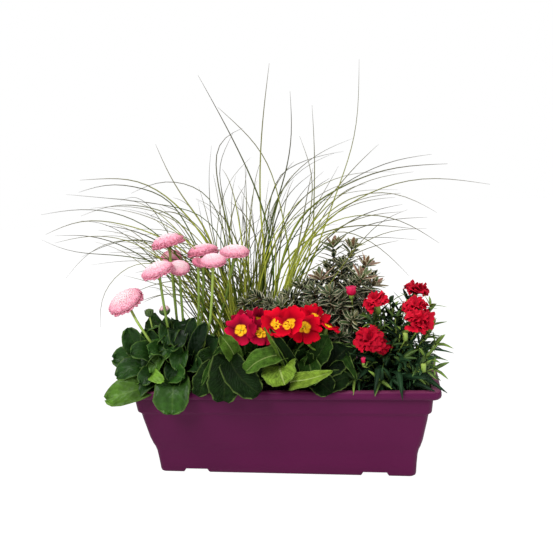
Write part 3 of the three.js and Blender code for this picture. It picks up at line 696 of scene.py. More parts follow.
def growMound(blank, plant, draw):
    # arching leaves all round a crown, the lowest first
    mound = plant["mound"]
    crown = np.array(plant["crown"], float)
    middle = crown + np.array(mound["shift"], float)
    copies = []
    for k in range(mound["leaves"]):
        share = (k + 0.5) / mound["leaves"]
        turn = k * goldenTurn + draw.normal() * 0.15
        out = np.array([math.cos(turn) * mound["stretch"], math.sin(turn), 0])
        reach = mound["reach"] * (1 - 0.62 * share) * draw.uniform(0.85, 1.1)
        height = mound["height"] * share**0.8 * draw.uniform(0.85, 1.1) - mound["drop"] * (1 - share)
        tip = middle + out * reach + upright * height
        lift = height + mound["arch"] * draw.uniform(0.7, 1.3)
        over = middle * 0.6 + crown * 0.4 + out * reach * 0.62 + upright * lift
        face = out * 0.55 + upright * 0.75 + np.array([0, -mound["toFront"], 0]) + draw.normal(size=3) * 0.22
        width = draw.uniform(*mound["widthMm"])
        tint = draw.beta(1.3, 2.6)
        copies.append(growLeaf(blank, crown, tip, over, width, tint, face, start=4 + 8 * (1 - share)))
    return copies


def growStalk(foot, end, widthMm, tint, bend=None):
    foot, end = np.array(foot, float), np.array(end, float)
    if bend is None:
        bend = foot + (end - foot) * [0.4, 0.4, 0.52]
    path = np.array([foot, bend, end]) * mm
    return copyOf(stalkBlank, path, widthMm * mm, stalkSide, tint, 1)


def crownSpots(crown, count, spread):
    turns = np.arange(count) * goldenTurn
    out = spread * np.sqrt((np.arange(count) + 0.5) / count)
    return np.array(crown, float) + np.stack([out * np.cos(turns), out * np.sin(turns), 0 * out + 2], 1)


# Double daisy.

daisy = {
    "crown": (-170, -16, 133),
    "facing": [  # each head's, in the order of its node
        (-0.3, -0.42, 0.86), (-0.25, -0.2, 0.95), (-0.2, -0.06, 0.97), (0.25, -0.46, 0.85),
        (-0.12, 0.03, 0.98), (0.06, -0.24, 0.95), (0.05, -0.08, 0.99), (0.05, -0.62, 0.78), (0.5, -0.3, 0.8),
    ],
    "deep": [0, 0, 0.1, 0, 0.15, 0, 0, 0.35, 0.95],  # how much deeper a head's pink is
    "nudge": [  # of each head and each bud from the middle of its node, in millimetres
        (2, 0, 2), (2, 0, 3), (3, -8, 1), (1, 0, 4), (0, 0, -6), (0, 0, 2), (6, 0, 1), (-2, 4, -2), (0, 0, 0),
        (1, 0, 0), (4, 0, -9),
    ],
    "quills": 420,  # petals seen from above, in each head
    "quillShare": 0.105,  # of its head's radius
    "underRays": 72,  # the lowest petals, seen from below
    "bracts": 13,
    "budQuills": 34,
    "budBracts": 16,
    "stalkMm": 4.8,
    "stalkBends": {0: (-216, -64, 236), 6: (-112, 30, 240)},  # where a stalk leaves the common arch
    "leaves": [  # tip, bend, width, tint, the way its blade faces
        ((-275, -104, 137), (-222, -90, 151), 46, 0.68, (-0.05, -0.8, 0.6)),
        ((-166, -107, 115), (-165, -88, 156), 60, 0.52, (0.05, -0.9, 0.4)),
        ((-251, -50, 243), (-232, -44, 200), 40, 0.3, (0.2, -0.95, 0.1)),
        ((-222, -46, 240), (-206, -40, 200), 36, 0.15, (0.1, -0.95, 0.2)),
        ((-280, -52, 190), (-244, -48, 186), 44, 0.35, (-0.1, -0.9, 0.4)),
        ((-262, -40, 214), (-232, -40, 196), 36, 0.2, (-0.1, -0.9, 0.4)),
        ((-146, -88, 168), (-166, -72, 168), 36, 0.5, (0.15, -0.85, 0.5)),
        ((-177, -100, 166), (-200, -84, 174), 22, 0.95, (-0.1, -0.8, 0.55)),
        ((-146, -92, 137), (-160, -78, 158), 38, 0.1, (0.1, -0.9, 0.35)),
        ((-129, -14, 228), (-142, -18, 195), 34, 0.15, (-0.1, -0.95, 0.2)),
        ((-155, -4, 240), (-160, -12, 200), 36, 0.05, (0.1, -0.95, 0.2)),
        ((-119, -30, 200), (-136, -30, 182), 32, 0.2, (0.2, -0.9, 0.3)),
        ((-184, -2, 243), (-180, -14, 200), 36, 0.05, (0, -0.95, 0.25)),
        ((-236, -84, 206), (-214, -66, 204), 36, 0.25, (-0.1, -0.9, 0.4)),
        ((-205, -84, 208), (-194, -66, 206), 34, 0.35, (0, -0.9, 0.45)),
        ((-172, -80, 207), (-172, -62, 206), 34, 0.15, (0.1, -0.9, 0.4)),
        ((-262, -84, 168), (-228, -72, 182), 38, 0.3, (-0.2, -0.85, 0.45)),
        ((-238, -96, 134), (-214, -80, 160), 40, 0.3, (-0.1, -0.85, 0.5)),
        ((-216, -98, 160), (-204, -80, 172), 32, 0.2, (0.1, -0.9, 0.4)),
        ((-122, -76, 178), (-140, -60, 180), 32, 0.1, (0.2, -0.9, 0.4)),
        ((-115, -56, 252), (-138, -50, 208), 25, 0.0, (0.3, -0.9, 0.2)),
        ((-134, -50, 258), (-146, -44, 214), 24, 0.05, (-0.2, -0.95, 0.2)),
        ((-98, -50, 226), (-128, -40, 196), 34, 0.1, (0.1, -0.9, 0.3)),
    ],
    "mound": {
        "leaves": 40, "shift": (-22, -2, 0), "stretch": 1.05, "reach": 84, "height": 88, "drop": 4,
        "arch": 24, "toFront": 0.3, "widthMm": (28, 40)
    },
    "seed": 21,
}
daisyLeafSkin = leafSkin("daisyLeafSkin", {
    "dark": "#0E240C", "mid": "#2A4E18", "light": "#6C9430", "rib": "#86A64E", "edge": "#7E9E48",
    "roughness": 0.42, "gloss": 0.22, "mottleMm": 14, "puckerMm": 9, "veins": 9, "veinSlant": 2.2,
    "wander": 1.0, "furrowShadeShow": 0.1, "inner": 0.3, "ribShow": 0.2, "edgeHighlightShow": 0.25, "relief": 0.5,
    "reliefMm": 2.2,
})
# Quilled petals: matte and soft, near white at the middle of the head, rose towards its rim and its
# underside.
daisyPetal = softRamp(
    "daisyPetal",
    [(0, "#E88AA6"), (0.6, "#F5B9C7"), (1, "#FBE2E8")],
    [(0, "#FAE6E8"), (0.3, "#F7C8D2"), (0.62, "#E87C9E"), (1, "#C02E62")],
    0.76,
    {"Roughness": 0.75, "IOR": 1.4, "Sheen Weight": 0.1},
)
# The green cup under a head: small overlapping bracts, matte.
daisyBract = softRamp(
    "daisyBract",
    [(0, "#2E4420"), (1, "#4C642E")],
    [(0, "#283C20"), (1, "#566E38")],
    0.5,
    {"Roughness": 0.6, "IOR": 1.4},
)


def makeDaisyHead(number, quill, bract, cup, pad, draw):
    node = f"daisy_flower_{number + 1}"
    low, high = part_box(node)
    facing = unit(daisy["facing"][number])
    centre = middleOf(node) + np.array(daisy["nudge"][number]) * mm
    radius = max(high - low) / 2
    first, second = axesOf(facing)
    deep = daisy["deep"][number]
    # the pad fills the head under its quills
    padPath = [centre - facing * radius * 0.2, centre + facing * radius * 0.32]
    copies = [copyOf(pad, padPath, radius * 1.8, first, 0.45 + deep * 0.5)]
    for k in range(daisy["quills"]):
        share = math.sqrt((k + 0.5) / daisy["quills"])
        turn = k * goldenTurn + draw.normal() * 0.05
        out = around(turn, first, second)
        ripple = draw.normal() * 0.01
        foot = out * radius * share * 0.72 + facing * radius * (0.2 - 0.3 * share**3)
        rise = 0.45 * (1 - share**2.6) - 0.04 + ripple
        top = out * radius * share * (0.97 + ripple) + facing * radius * rise
        bulge = out * radius * share * 0.88 + facing * radius * (0.33 * (1 - share**2.4) + 0.03)
        tint = min(1, max(0, share**2.6 * 0.9 + deep + draw.normal() * 0.05))
        width = daisy["quillShare"] * radius * (0.85 + 0.25 * share)
        path = np.array([foot, bulge, top]) + centre
        copies.append(copyOf(quill, path, width, np.cross(out, facing), tint))
    for k in range(daisy["underRays"]):
        turn = k * goldenTurn
        out = around(turn, first, second)
        droop = draw.uniform(-0.24, -0.1)
        foot = out * radius * 0.2 - facing * radius * 0.2
        bulge = out * radius * 0.6 - facing * radius * 0.23
        top = out * radius * draw.uniform(0.9, 0.99) + facing * radius * droop
        path = np.array([foot, bulge, top]) + centre
        width = daisy["quillShare"] * radius * 1.4
        copies.append(copyOf(quill, path, width, np.cross(out, facing), min(1, 0.82 + deep)))
    base = centre - facing * radius * 0.32
    copies.append(copyOf(cup, [base, centre - facing * radius * 0.14], radius * 0.9, first, 0.3, 1))
    for k in range(daisy["bracts"]):
        turn = k * goldenTurn
        out = around(turn, first, second)
        middle = base + out * radius * 0.4 + facing * radius * 0.02
        path = [base + out * radius * 0.1, middle, base + out * radius * 0.62 + facing * radius * 0.14]
        copies.append(copyOf(bract, path, radius * 0.3, np.cross(out, facing), draw.random(), 1))
    piece = gather(f"daisyHead{number + 1}", copies, [daisyPetal, daisyBract])
    finishPiece(piece, "daisy_pink", node)
    return base * 1000


def makeDaisyBud(number, opened, quill, bract, cup, draw):
    node = f"daisy_bud_{number}"
    low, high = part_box(node)
    centre = middleOf(node) + np.array(daisy["nudge"][len(daisy["facing"]) + number - 1]) * mm
    radius = (high.z - low.z) / 2 * (1 if opened else 0.85)
    cupPath = [centre - upright * radius, centre - upright * radius * 0.1]
    copies = [copyOf(cup, cupPath, radius * 1.9, sideways, 0.4, 1)]
    tint, skin = (0.15, 0) if opened else (0.9, 1)
    for k in range(daisy["budQuills"]):
        share = math.sqrt((k + 0.5) / daisy["budQuills"])
        out = around(k * goldenTurn)
        middle = out * share * 0.95 + upright * 0.25
        top = out * share * 0.5 + upright * (0.98 - 0.2 * share)
        path = np.array([out * share * 0.6 - upright * 0.3, middle, top]) * radius + centre
        copies.append(copyOf(quill, path, radius * 0.36, np.cross(out, upright), tint, skin))
    for k in range(daisy["budBracts"]):
        out = around(k * goldenTurn)
        top = out * 1.02 + upright * (0.25 if opened else 0.7)
        path = np.array([out * 0.3 - upright * 0.95, out * 0.95 - upright * 0.4, top]) * radius + centre
        copies.append(copyOf(bract, path, radius * 0.6, np.cross(out, upright), draw.random(), 1))
    finishPiece(gather(f"daisyBud{number}", copies, [daisyPetal, daisyBract]), "daisy_green", node)
    return (centre - upright * radius * 0.98) * 1000


def makeDaisy():
    draw = np.random.default_rng(daisy["seed"])
    quill = asBlank(drawRod(4, [(0, 0.3, 0.25), (0.5, 0.46, 0.36), (0.93, 0.5, 0.4), (1, 0.36, 0.28)]))
    bract = asBlank(drawLeaf(2, 4, [(0, 0.5), (0.4, 1), (0.8, 0.7), (1, 0.15)], cup=0.1, thickness=0.12))
    cup = asBlank(drawRod(12, [(0, 0.12, 0.12), (0.25, 0.36, 0.36), (0.6, 0.5, 0.5), (1, 0.52, 0.52)]))
    pad = asBlank(drawRod(20, [
        (0, 0.3, 0.3), (0.12, 0.46, 0.46), (0.3, 0.5, 0.5), (0.55, 0.48, 0.48), (0.78, 0.4, 0.4),
        (0.92, 0.26, 0.26), (1, 0.08, 0.08)
    ]))
    ends = [makeDaisyHead(number, quill, bract, cup, pad, draw) for number in range(len(daisy["facing"]))]
    ends += [makeDaisyBud(number, number == 2, quill, bract, cup, draw) for number in (1, 2)]
    leaf = asBlank(drawLeaf(6, 12, [
        (0, 0.2), (0.25, 0.17), (0.36, 0.32), (0.5, 0.72), (0.62, 0.93), (0.74, 1), (0.84, 0.94),
        (0.91, 0.78), (0.96, 0.56), (0.99, 0.3), (1, 0.14)
    ], fold=0.05, cup=0.09, quilt=0.015, ruffle=0.06, teeth=0.05, thickness=0.03))
    copies = [growLeaf(leaf, daisy["crown"], *key) for key in daisy["leaves"]]
    copies += growMound(leaf, daisy, draw)
    spots = sorted(crownSpots(daisy["crown"], len(ends), 12), key=lambda spot: spot[0])
    order = sorted(range(len(ends)), key=lambda k: ends[k][0])
    for spot, k in zip(spots, order):
        thin = 0.55 if k >= len(daisy["facing"]) else 1
        bend = daisy["stalkBends"].get(k, spot + (ends[k] - spot) * [0.74, 0.74, 0.5])
        copies.append(growStalk(spot, ends[k], daisy["stalkMm"] * thin, draw.random(), bend))
    piece = gather("daisyPlant", copies, [daisyLeafSkin, freshStalk])
    finishPiece(piece, "daisy_green", "daisy_leaves_and_stalks")


makeDaisy()
print("daisy done")


# Primroses.

primroses = {
    "left": {
        "crown": (-58, -41, 133),
        "petal": ("#62051E", "#A8082E", "#C8103E"),
        "facing": [(-0.1, -0.8, 0.6), (-0.2, -0.4, 0.88), (0.85, -0.42, 0.36), (0.4, -0.7, 0.6)],
        "cup": [0.15, 0.35, 0.3, 0.2],  # how far each flower's petals rise
        "size": [1, 0.95, 0.85, 0.85],
        # from the middle of its node, in millimetres
        "nudge": [(5, 0, 2), (4, -6, -19), (-10, -4, -12), (-7, 4, 10)],
        "leaves": [  # tip, bends, width, tint, the way its blade faces
            ((-80, -100, 241), ((-62, -78, 190), (-68, -93, 220)), 29, 0.6, (0.3, -0.9, 0.25)),
            ((-80, -107, 138), ((-72, -72, 192), (-76, -92, 193), (-77, -105, 168)), 55, 0.07,
             (0.1, -0.95, 0.2)),
            ((-22, -113, 152), ((-70, -82, 195), (-60, -104, 186), (-42, -112, 168)), 48, 0.05,
             (0.3, -0.9, 0.3)),
            ((-124, -98, 142), (-98, -76, 182), 40, 0.08, (-0.25, -0.85, 0.4)),
            ((-128, -70, 178), (-100, -50, 192), 40, 0.1, (-0.2, -0.85, 0.4)),
            ((-112, -40, 214), (-88, -36, 192), 36, 0.05, (-0.1, -0.95, 0.2)),
            ((-66, -96, 172), (-62, -80, 186), 36, 0.05, (0, -0.9, 0.4)),
            ((-34, -70, 206), (-42, -60, 190), 28, 0.25, (0.2, -0.9, 0.3)),
            ((0, -88, 176), (-30, -76, 176), 34, 0.05, (0, -0.9, 0.4)),
        ],
        "tongues": [
            ((-115, -102, 160), ((-90, -76, 192), (-104, -92, 182)), 17, 0.45, (-0.3, -0.9, 0.3)),
            ((-98, -86, 203), ((-72, -64, 205), (-84, -78, 213)), 18, 0.3, (0, -0.8, 0.6)),
        ],
        "mound": {
            "leaves": 12, "shift": (-6, 6, 0), "stretch": 0.95, "reach": 66, "height": 74, "drop": 0,
            "arch": 26, "toFront": 0.2, "widthMm": (36, 48)
        },
    },
    "right": {
        "crown": (40, -39, 133),
        "petal": ("#8C0216", "#C60220", "#E20A2A"),
        "facing": [
            (0.35, -0.65, 0.65), (-0.3, -0.65, 0.7), (0.2, -0.6, 0.75), (0.3, -0.5, 0.8), (0.38, 0.12, 0.92),
            (0.05, -0.5, 0.85)
        ],
        "cup": [0.15, 0.2, -0.1, 0.3, 0.1, 0.3],
        "size": [1, 1.05, 1.05, 0.9, 0.78, 1],
        "nudge": [(6, -9, 4), (10, 10, 5), (-1, 0, 0), (-2, -6, -13), (-8, 0, -2), (8, -14, -27)],
        "leaves": [
            ((-41, -111, 186), ((22, -66, 194), (0, -95, 206), (-24, -108, 200)), 36, 0.56,
             (-0.15, -0.75, 0.65)),
            ((18, -111, 165), ((14, -70, 176), (8, -90, 187), (12, -104, 179)), 58, 0.85,
             (-0.15, -0.75, 0.6)),
            ((84, -74, 231), ((56, -68, 179), (71, -72, 206)), 38, 0.16, (-0.4, -0.9, 0.1)),
            ((112, -72, 211), ((61, -64, 161), (87, -72, 188)), 50, 0.0, (-0.2, -0.9, 0.35)),
            ((112, -82, 168), (80, -84, 158), 34, 0.05, (0.1, -0.9, 0.4)),
            ((88, -100, 148), (66, -84, 160), 38, 0.03, (0, -0.9, 0.4)),
            ((46, -78, 214), (42, -62, 190), 38, 0.1, (0, -0.95, 0.25)),
            ((112, -50, 196), (86, -48, 190), 38, 0.05, (0, -0.9, 0.4)),
            ((0, -60, 238), (18, -54, 194), 38, 0.04, (0.3, -0.9, 0.2)),
            ((34, -60, 230), (36, -52, 190), 40, 0.02, (0, -0.95, 0.2)),
            ((126, -54, 200), (98, -48, 188), 34, 0.03, (0.1, -0.9, 0.4)),
        ],
        "tongues": [
            ((-9, -104, 254), ((22, -88, 184), (6, -100, 222)), 14, 0.74, (-0.55, -0.8, 0.1)),
            ((-4, -98, 250), ((26, -84, 184), (13, -96, 220)), 22, 0.05, (0.5, -0.85, 0.1)),
            ((90, -101, 182), ((30, -84, 156), (26, -103, 167), (54, -108, 173)), 27, 1.0,
             (0.05, -0.85, 0.5)),
            ((125, -98, 168), ((102, -76, 194), (114, -88, 190), (121, -96, 180)), 18, 0.2,
             (0.05, -0.98, 0.1)),
            ((50, -72, 199), ((36, -62, 172), (42, -70, 188)), 15, 0.5, (-0.3, -0.9, 0.2)),
        ],
        "mound": {
            "leaves": 12, "shift": (4, 6, 0), "stretch": 1.0, "reach": 66, "height": 72, "drop": 0,
            "arch": 26, "toFront": 0.2, "widthMm": (36, 48)
        },
    },
    "radiusMm": 27,
    "petals": 5,
    "tubeMm": (14, 1, 6),  # how far a flower's tube reaches below and above its middle, and its width
    "stalkMm": 3.2,
    "seed": 31,
}
primroseLeafSkin = leafSkin("primroseLeafSkin", {
    "dark": "#081606", "mid": "#33581A", "light": "#84A236", "rib": "#B4C478", "edge": "#7F9A4C",
    "roughness": 0.55, "gloss": 0.1, "mottleMm": 9, "puckerMm": 5, "veins": 24, "veinSlant": 5.0,
    "wander": 3.0, "furrowShadeShow": 0.38, "inner": 0.5, "ribShow": 0.7, "edgeHighlightShow": 0.45, "relief": 1.6,
    "reliefMm": 1.2,
})


# Velvety primrose petal: matte saturated red, darker towards the eye, with a yellow star at its foot.
def primrosePetal(name, deep, main, bright):
    material, shader = newMaterial(name, {
        "Roughness": 0.6, "IOR": 1.4, "Specular IOR Level": 0.05, "Sheen Weight": 0.02,
        "Sheen Tint": linear(bright)
    })
    across, along, tint = growthOf(material)
    off = addNode(material, "Math", {0: across}, operation="ABSOLUTE")
    star = addNode(material, "Math", {0: off, 1: 0.13, 2: along}, operation="MULTIPLY_ADD")
    red = addNode(material, "ValToRGB", {"Fac": along}, stops=[(0.35, deep), (0.7, main), (1.0, bright)])
    varied = addNode(material, "MapRange", {"Value": tint, "To Min": 0.7, "To Max": 1.1})
    shaded = addNode(material, "HueSaturation", {"Value": varied, "Color": red})
    eye = addNode(material, "ValToRGB", {"Fac": star}, stops=[
        (0.0, "#B9A628"), (0.08, "#FAD22C"), (0.32, "#F9C224"), (0.4, "#EE8A1C")
    ])
    edge = addNode(material, "MapRange", {
        "Value": star, "From Min": 0.37, "From Max": 0.42, "To Min": 0.0, "To Max": 1.0
    })
    colour = addNode(material, "MixRGB", {"Fac": edge, "Color1": eye, "Color2": shaded})
    feed(material, shader, {"Base Color": colour})
    return material


def drawPrimrosePetal():
    petal = drawLeaf(8, 9, [
        (0, 0.14), (0.15, 0.26), (0.35, 0.6), (0.55, 0.9), (0.75, 1.05), (0.9, 1.0), (1, 0.7)
    ], fold=-0.03, cup=0.12, ruffle=0.08, thickness=0.04, crowd=1.2)
    bpy.ops.object.mode_set(mode="EDIT")
    pick(petal, "VERT", lambda v: v.co.y > 0.99 and abs(v.co.x) < 0.05)
    bpy.ops.transform.translate(value=(0, -0.1, 0))
    bpy.ops.object.mode_set(mode="OBJECT")
    return asBlank(petal)


def makePrimroseFlower(node, facing, cup, size, nudge, petal, tube, red, slotName, draw):
    radius = primroses["radiusMm"] * size * mm
    facing = unit(facing)
    centre = middleOf(node) + np.array(nudge) * mm
    first, second = axesOf(facing)
    spin = draw.uniform(0, 2 * math.pi)
    below, above, width = (each * mm for each in primroses["tubeMm"])
    foot = centre - facing * below
    copies = [copyOf(tube, [foot, centre + facing * above], width, first, 0.5, 1)]
    for k in range(primroses["petals"]):
        turn = spin + k * 2 * math.pi / primroses["petals"]
        out = around(turn, first, second)
        lift = cup + draw.uniform(-0.2, 0.3)
        middle = out * radius * 0.5 + facing * radius * (0.1 + lift * 0.35)
        tip = out * radius * draw.uniform(0.9, 1.02) + facing * radius * lift
        side = np.cross(out, facing) + facing * draw.normal() * 0.12
        path = np.array([out * 0.0015, middle, tip]) + centre
        copies.append(copyOf(petal, path, radius, side, draw.random()))
    finishPiece(gather(spoken(node), copies, [red, freshStalk]), slotName, node)
    return foot * 1000


def spoken(node):
    # primrose_left_flower_1 gives primroseLeftFlower1
    first, *rest = node.split("_")
    return first + "".join(word.capitalize() for word in rest)


def makePrimroses():
    draw = np.random.default_rng(primroses["seed"])
    petal = drawPrimrosePetal()
    tube = asBlank(
        drawRod(10, [(0, 0.3, 0.3), (0.1, 0.5, 0.5), (0.5, 0.55, 0.55), (0.85, 0.4, 0.4), (1, 0.42, 0.42)])
    )
    leaf = asBlank(drawLeaf(8, 18, [
        (0, 0.22), (0.14, 0.18), (0.3, 0.3), (0.48, 0.62), (0.64, 0.9), (0.76, 1), (0.86, 0.95), (0.93, 0.76),
        (0.97, 0.54), (0.99, 0.3), (1, 0.14)
    ], fold=0.12, cup=-0.05, quilt=0.025, ruffle=0.11, teeth=0.08, thickness=0.02))
    tongue = asBlank(drawLeaf(4, 16, [
        (0, 0.25), (0.22, 0.3), (0.4, 0.72), (0.54, 1), (0.68, 0.92), (0.82, 0.68), (0.93, 0.36), (1, 0.06)
    ], fold=0.1, cup=0.05, quilt=0.02, ruffle=0.08, teeth=0.06, thickness=0.03, crowd=1.2))
    for which in ("left", "right"):
        plant = primroses[which]
        red = primrosePetal(f"{which}PrimrosePetal", *plant["petal"])
        slotName = "primrose_crimson" if which == "left" else "primrose_red"
        ends = []
        for habit in zip(plant["facing"], plant["cup"], plant["size"], plant["nudge"]):
            node = f"primrose_{which}_flower_{len(ends) + 1}"
            ends.append(makePrimroseFlower(node, *habit, petal, tube, red, slotName, draw))
        copies = [growLeaf(leaf, plant["crown"], *key) for key in plant["leaves"]]
        copies += [growLeaf(tongue, plant["crown"], *key) for key in plant["tongues"]]
        copies += growMound(leaf, plant, draw)
        for spot, end in zip(crownSpots(plant["crown"], len(ends), 8), ends):
            copies.append(growStalk(spot, end, primroses["stalkMm"], draw.random()))
        piece = gather(f"{which}PrimrosePlant", copies, [primroseLeafSkin, freshStalk])
        finishPiece(piece, "primrose_green", f"primrose_{which}_leaves")


makePrimroses()
print("primroses done")


# Heath shrub.

shrub = {
    "crown": (84, 37, 133),
    "shoots": [  # where each leaves the stems, and its tip
        ((86, 38, 240), (86, 44, 350)), ((93, 48, 240), (116, 56, 345)), ((80, 32, 226), (64, 26, 299)),
        ((96, 40, 216), (149, 40, 284)), ((76, 30, 206), (12, 8, 276)), ((74, 34, 190), (-14, 8, 262)),
        ((88, 30, 204), (100, 0, 268)), ((88, 48, 212), (100, 94, 300)), ((84, 34, 190), (48, -8, 258)),
        ((88, 36, 200), (132, 14, 300)), ((90, 40, 225), (137, 46, 316)), ((80, 36, 215), (30, 24, 288)),
        ((82, 30, 180), (16, -14, 244)), ((90, 32, 180), (118, -16, 240)), ((86, 40, 220), (74, 58, 312)),
        ((84, 32, 170), (70, -22, 236)), ((92, 44, 210), (146, 78, 290)), ((80, 44, 200), (36, 74, 280)),
        ((84, 34, 200), (82, -12, 282)), ((90, 40, 240), (100, 38, 320)), ((92, 36, 190), (150, 10, 256)),
        ((78, 32, 170), (-8, -4, 232)), ((80, 34, 210), (54, 6, 286)), ((88, 36, 220), (116, 24, 290)),
        ((76, 34, 180), (20, 40, 256)), ((84, 34, 170), (96, -24, 214)), ((76, 30, 176), (44, -24, 222)),
        ((90, 42, 190), (136, 40, 240)), ((24, 18, 232), (-60, 6, 266)), ((20, 14, 238), (-38, 0, 278)),
        ((30, 16, 226), (-16, -8, 268)), ((16, 12, 222), (-46, -8, 250)), ((28, 10, 216), (2, -16, 262)),
        ((10, 12, 226), (-24, -12, 250)),
    ],
    "bronze": {0, 1, 2, 3, 9, 10},  # the shoots that end in a young bronze rosette
    "leafMm": (23, 32),
    "leafShare": 0.32,  # a leaf's width in its length
    "spacing": 9.5,  # from one whorl of leaves to the next, in millimetres
    "whorl": {"leaves": 4, "turn": 1.05, "rise": 0.45},
    "rosette": {"leaves": 6, "rings": [(0.6, 20, 27), (1.8, 16, 22)]},  # rise, shortest and longest leaf
    "pieces": 8,  # the shoots are shared out to this many
    "stemMm": 3.4,
    "twigMm": 1.8,
    "seed": 41,
}


# Narrow heath leaf: dull grey-green with a cream margin, and bronze-pink on the youngest.
def heathLeaf():
    material, shader = newMaterial("heathLeaf", {"Roughness": 0.5, "IOR": 1.42})
    across, _, tint = growthOf(material)
    green = addNode(material, "ValToRGB", {"Fac": tint}, stops=[
        (0.0, "#0E1C10"), (0.5, "#2A4224"), (0.8, "#56683A"), (0.9, "#7E6246"), (1.0, "#96645A")
    ])
    off = addNode(material, "Math", {0: across}, operation="ABSOLUTE")
    margin = addNode(
        material, "MapRange", {"Value": off, "From Min": 0.62, "From Max": 0.76, "To Min": 0.0, "To Max": 0.9}
    )
    colour = addNode(material, "MixRGB", {"Fac": margin, "Color1": green, "Color2": "#E8E2BC"})
    feed(material, shader, {"Base Color": colour})
    return material


# Young bark: matte brown.
heathBark = softRamp(
    "heathBark",
    [(0, "#4A3527"), (1, "#7A5A42")],
    [(0, "#3C2A20"), (1, "#6B4C38")],
    0.4,
    {"Roughness": 0.85, "IOR": 1.4},
)


def leafWhorl(spot, ahead, turn, count, rise, lengths, leaf, tints, draw):
    # leaves round a shoot, which lean along it by rise
    first, second = axesOf(ahead)
    copies = []
    for k in range(count):
        angle = turn + k * 2 * math.pi / count + draw.normal() * 0.2
        out = around(angle, first, second)
        length = draw.uniform(*lengths)
        aim = unit(out + ahead * (rise + draw.normal() * 0.12))
        path = np.array([spot, spot + aim * length * 0.5 + ahead * 0.8, spot + aim * length - ahead])
        width = shrub["leafShare"] * length * mm * draw.uniform(0.8, 1.15)
        copies.append(copyOf(leaf, path * mm, width, np.cross(out, ahead), draw.uniform(*tints)))
    return copies


def makeShrub():
    draw = np.random.default_rng(shrub["seed"])
    leaf = asBlank(
        drawRod(4, [(0, 0.1, 0.07), (0.3, 0.42, 0.08), (0.6, 0.5, 0.08), (0.85, 0.34, 0.07), (1, 0.03, 0.03)])
    )
    heath = heathLeaf()
    crown = np.array(shrub["crown"], float)
    stems = []
    shoots = [[] for _ in range(shrub["pieces"])]
    whorl, rosette = shrub["whorl"], shrub["rosette"]
    for number, (fork, tip) in enumerate(shrub["shoots"]):
        fork, tip = np.array(fork, float), np.array(tip, float)
        foot = crown + draw.normal(size=3) * [3, 3, 0]
        path = np.array([foot, (crown + fork) / 2 + draw.normal(size=3) * 3, fork, (fork + tip) / 2])
        stems.append(copyOf(stalkBlank, path * mm, shrub["stemMm"] * mm, stalkSide, draw.random()))
        bend = (fork + tip) / 2 + np.array([0, 0, -6.0])
        copies = shoots[number % shrub["pieces"]]
        twig = np.array([fork, bend, tip]) * mm
        side = np.array([0.2, 1.0, 0.0])
        copies.append(copyOf(stalkBlank, twig, shrub["twigMm"] * mm, side, draw.random(), 1))
        count = int(np.linalg.norm(tip - fork) / shrub["spacing"])
        places, ways = alongCurve([fork, bend, tip], 0.1 + 0.9 * np.linspace(0, 1, count + 1) ** 0.85)
        for level in range(count):
            copies += leafWhorl(
                places[level], ways[level], level * whorl["turn"], whorl["leaves"], whorl["rise"],
                shrub["leafMm"], leaf, (0.0, 0.72), draw
            )
        young, larger = ((0.72, 1.0), 1.25) if number in shrub["bronze"] else ((0.3, 0.84), 1)
        for rise, shortest, longest in rosette["rings"]:
            copies += leafWhorl(places[count], ways[count], rise, rosette["leaves"], rise,
                                (shortest * larger, longest * larger), leaf, young, draw)
    finishPiece(gather("shrubStems", stems, [heathBark]), "shrub_bark", "shrub_stems")
    for number, copies in enumerate(shoots):
        piece = gather(f"shrubShoot{number + 1}", copies, [heath, heathBark])
        finishPiece(piece, "shrub_variegated", f"shrub_shoot_{number + 1}")


makeShrub()
print("shrub done")


# Pot carnation.

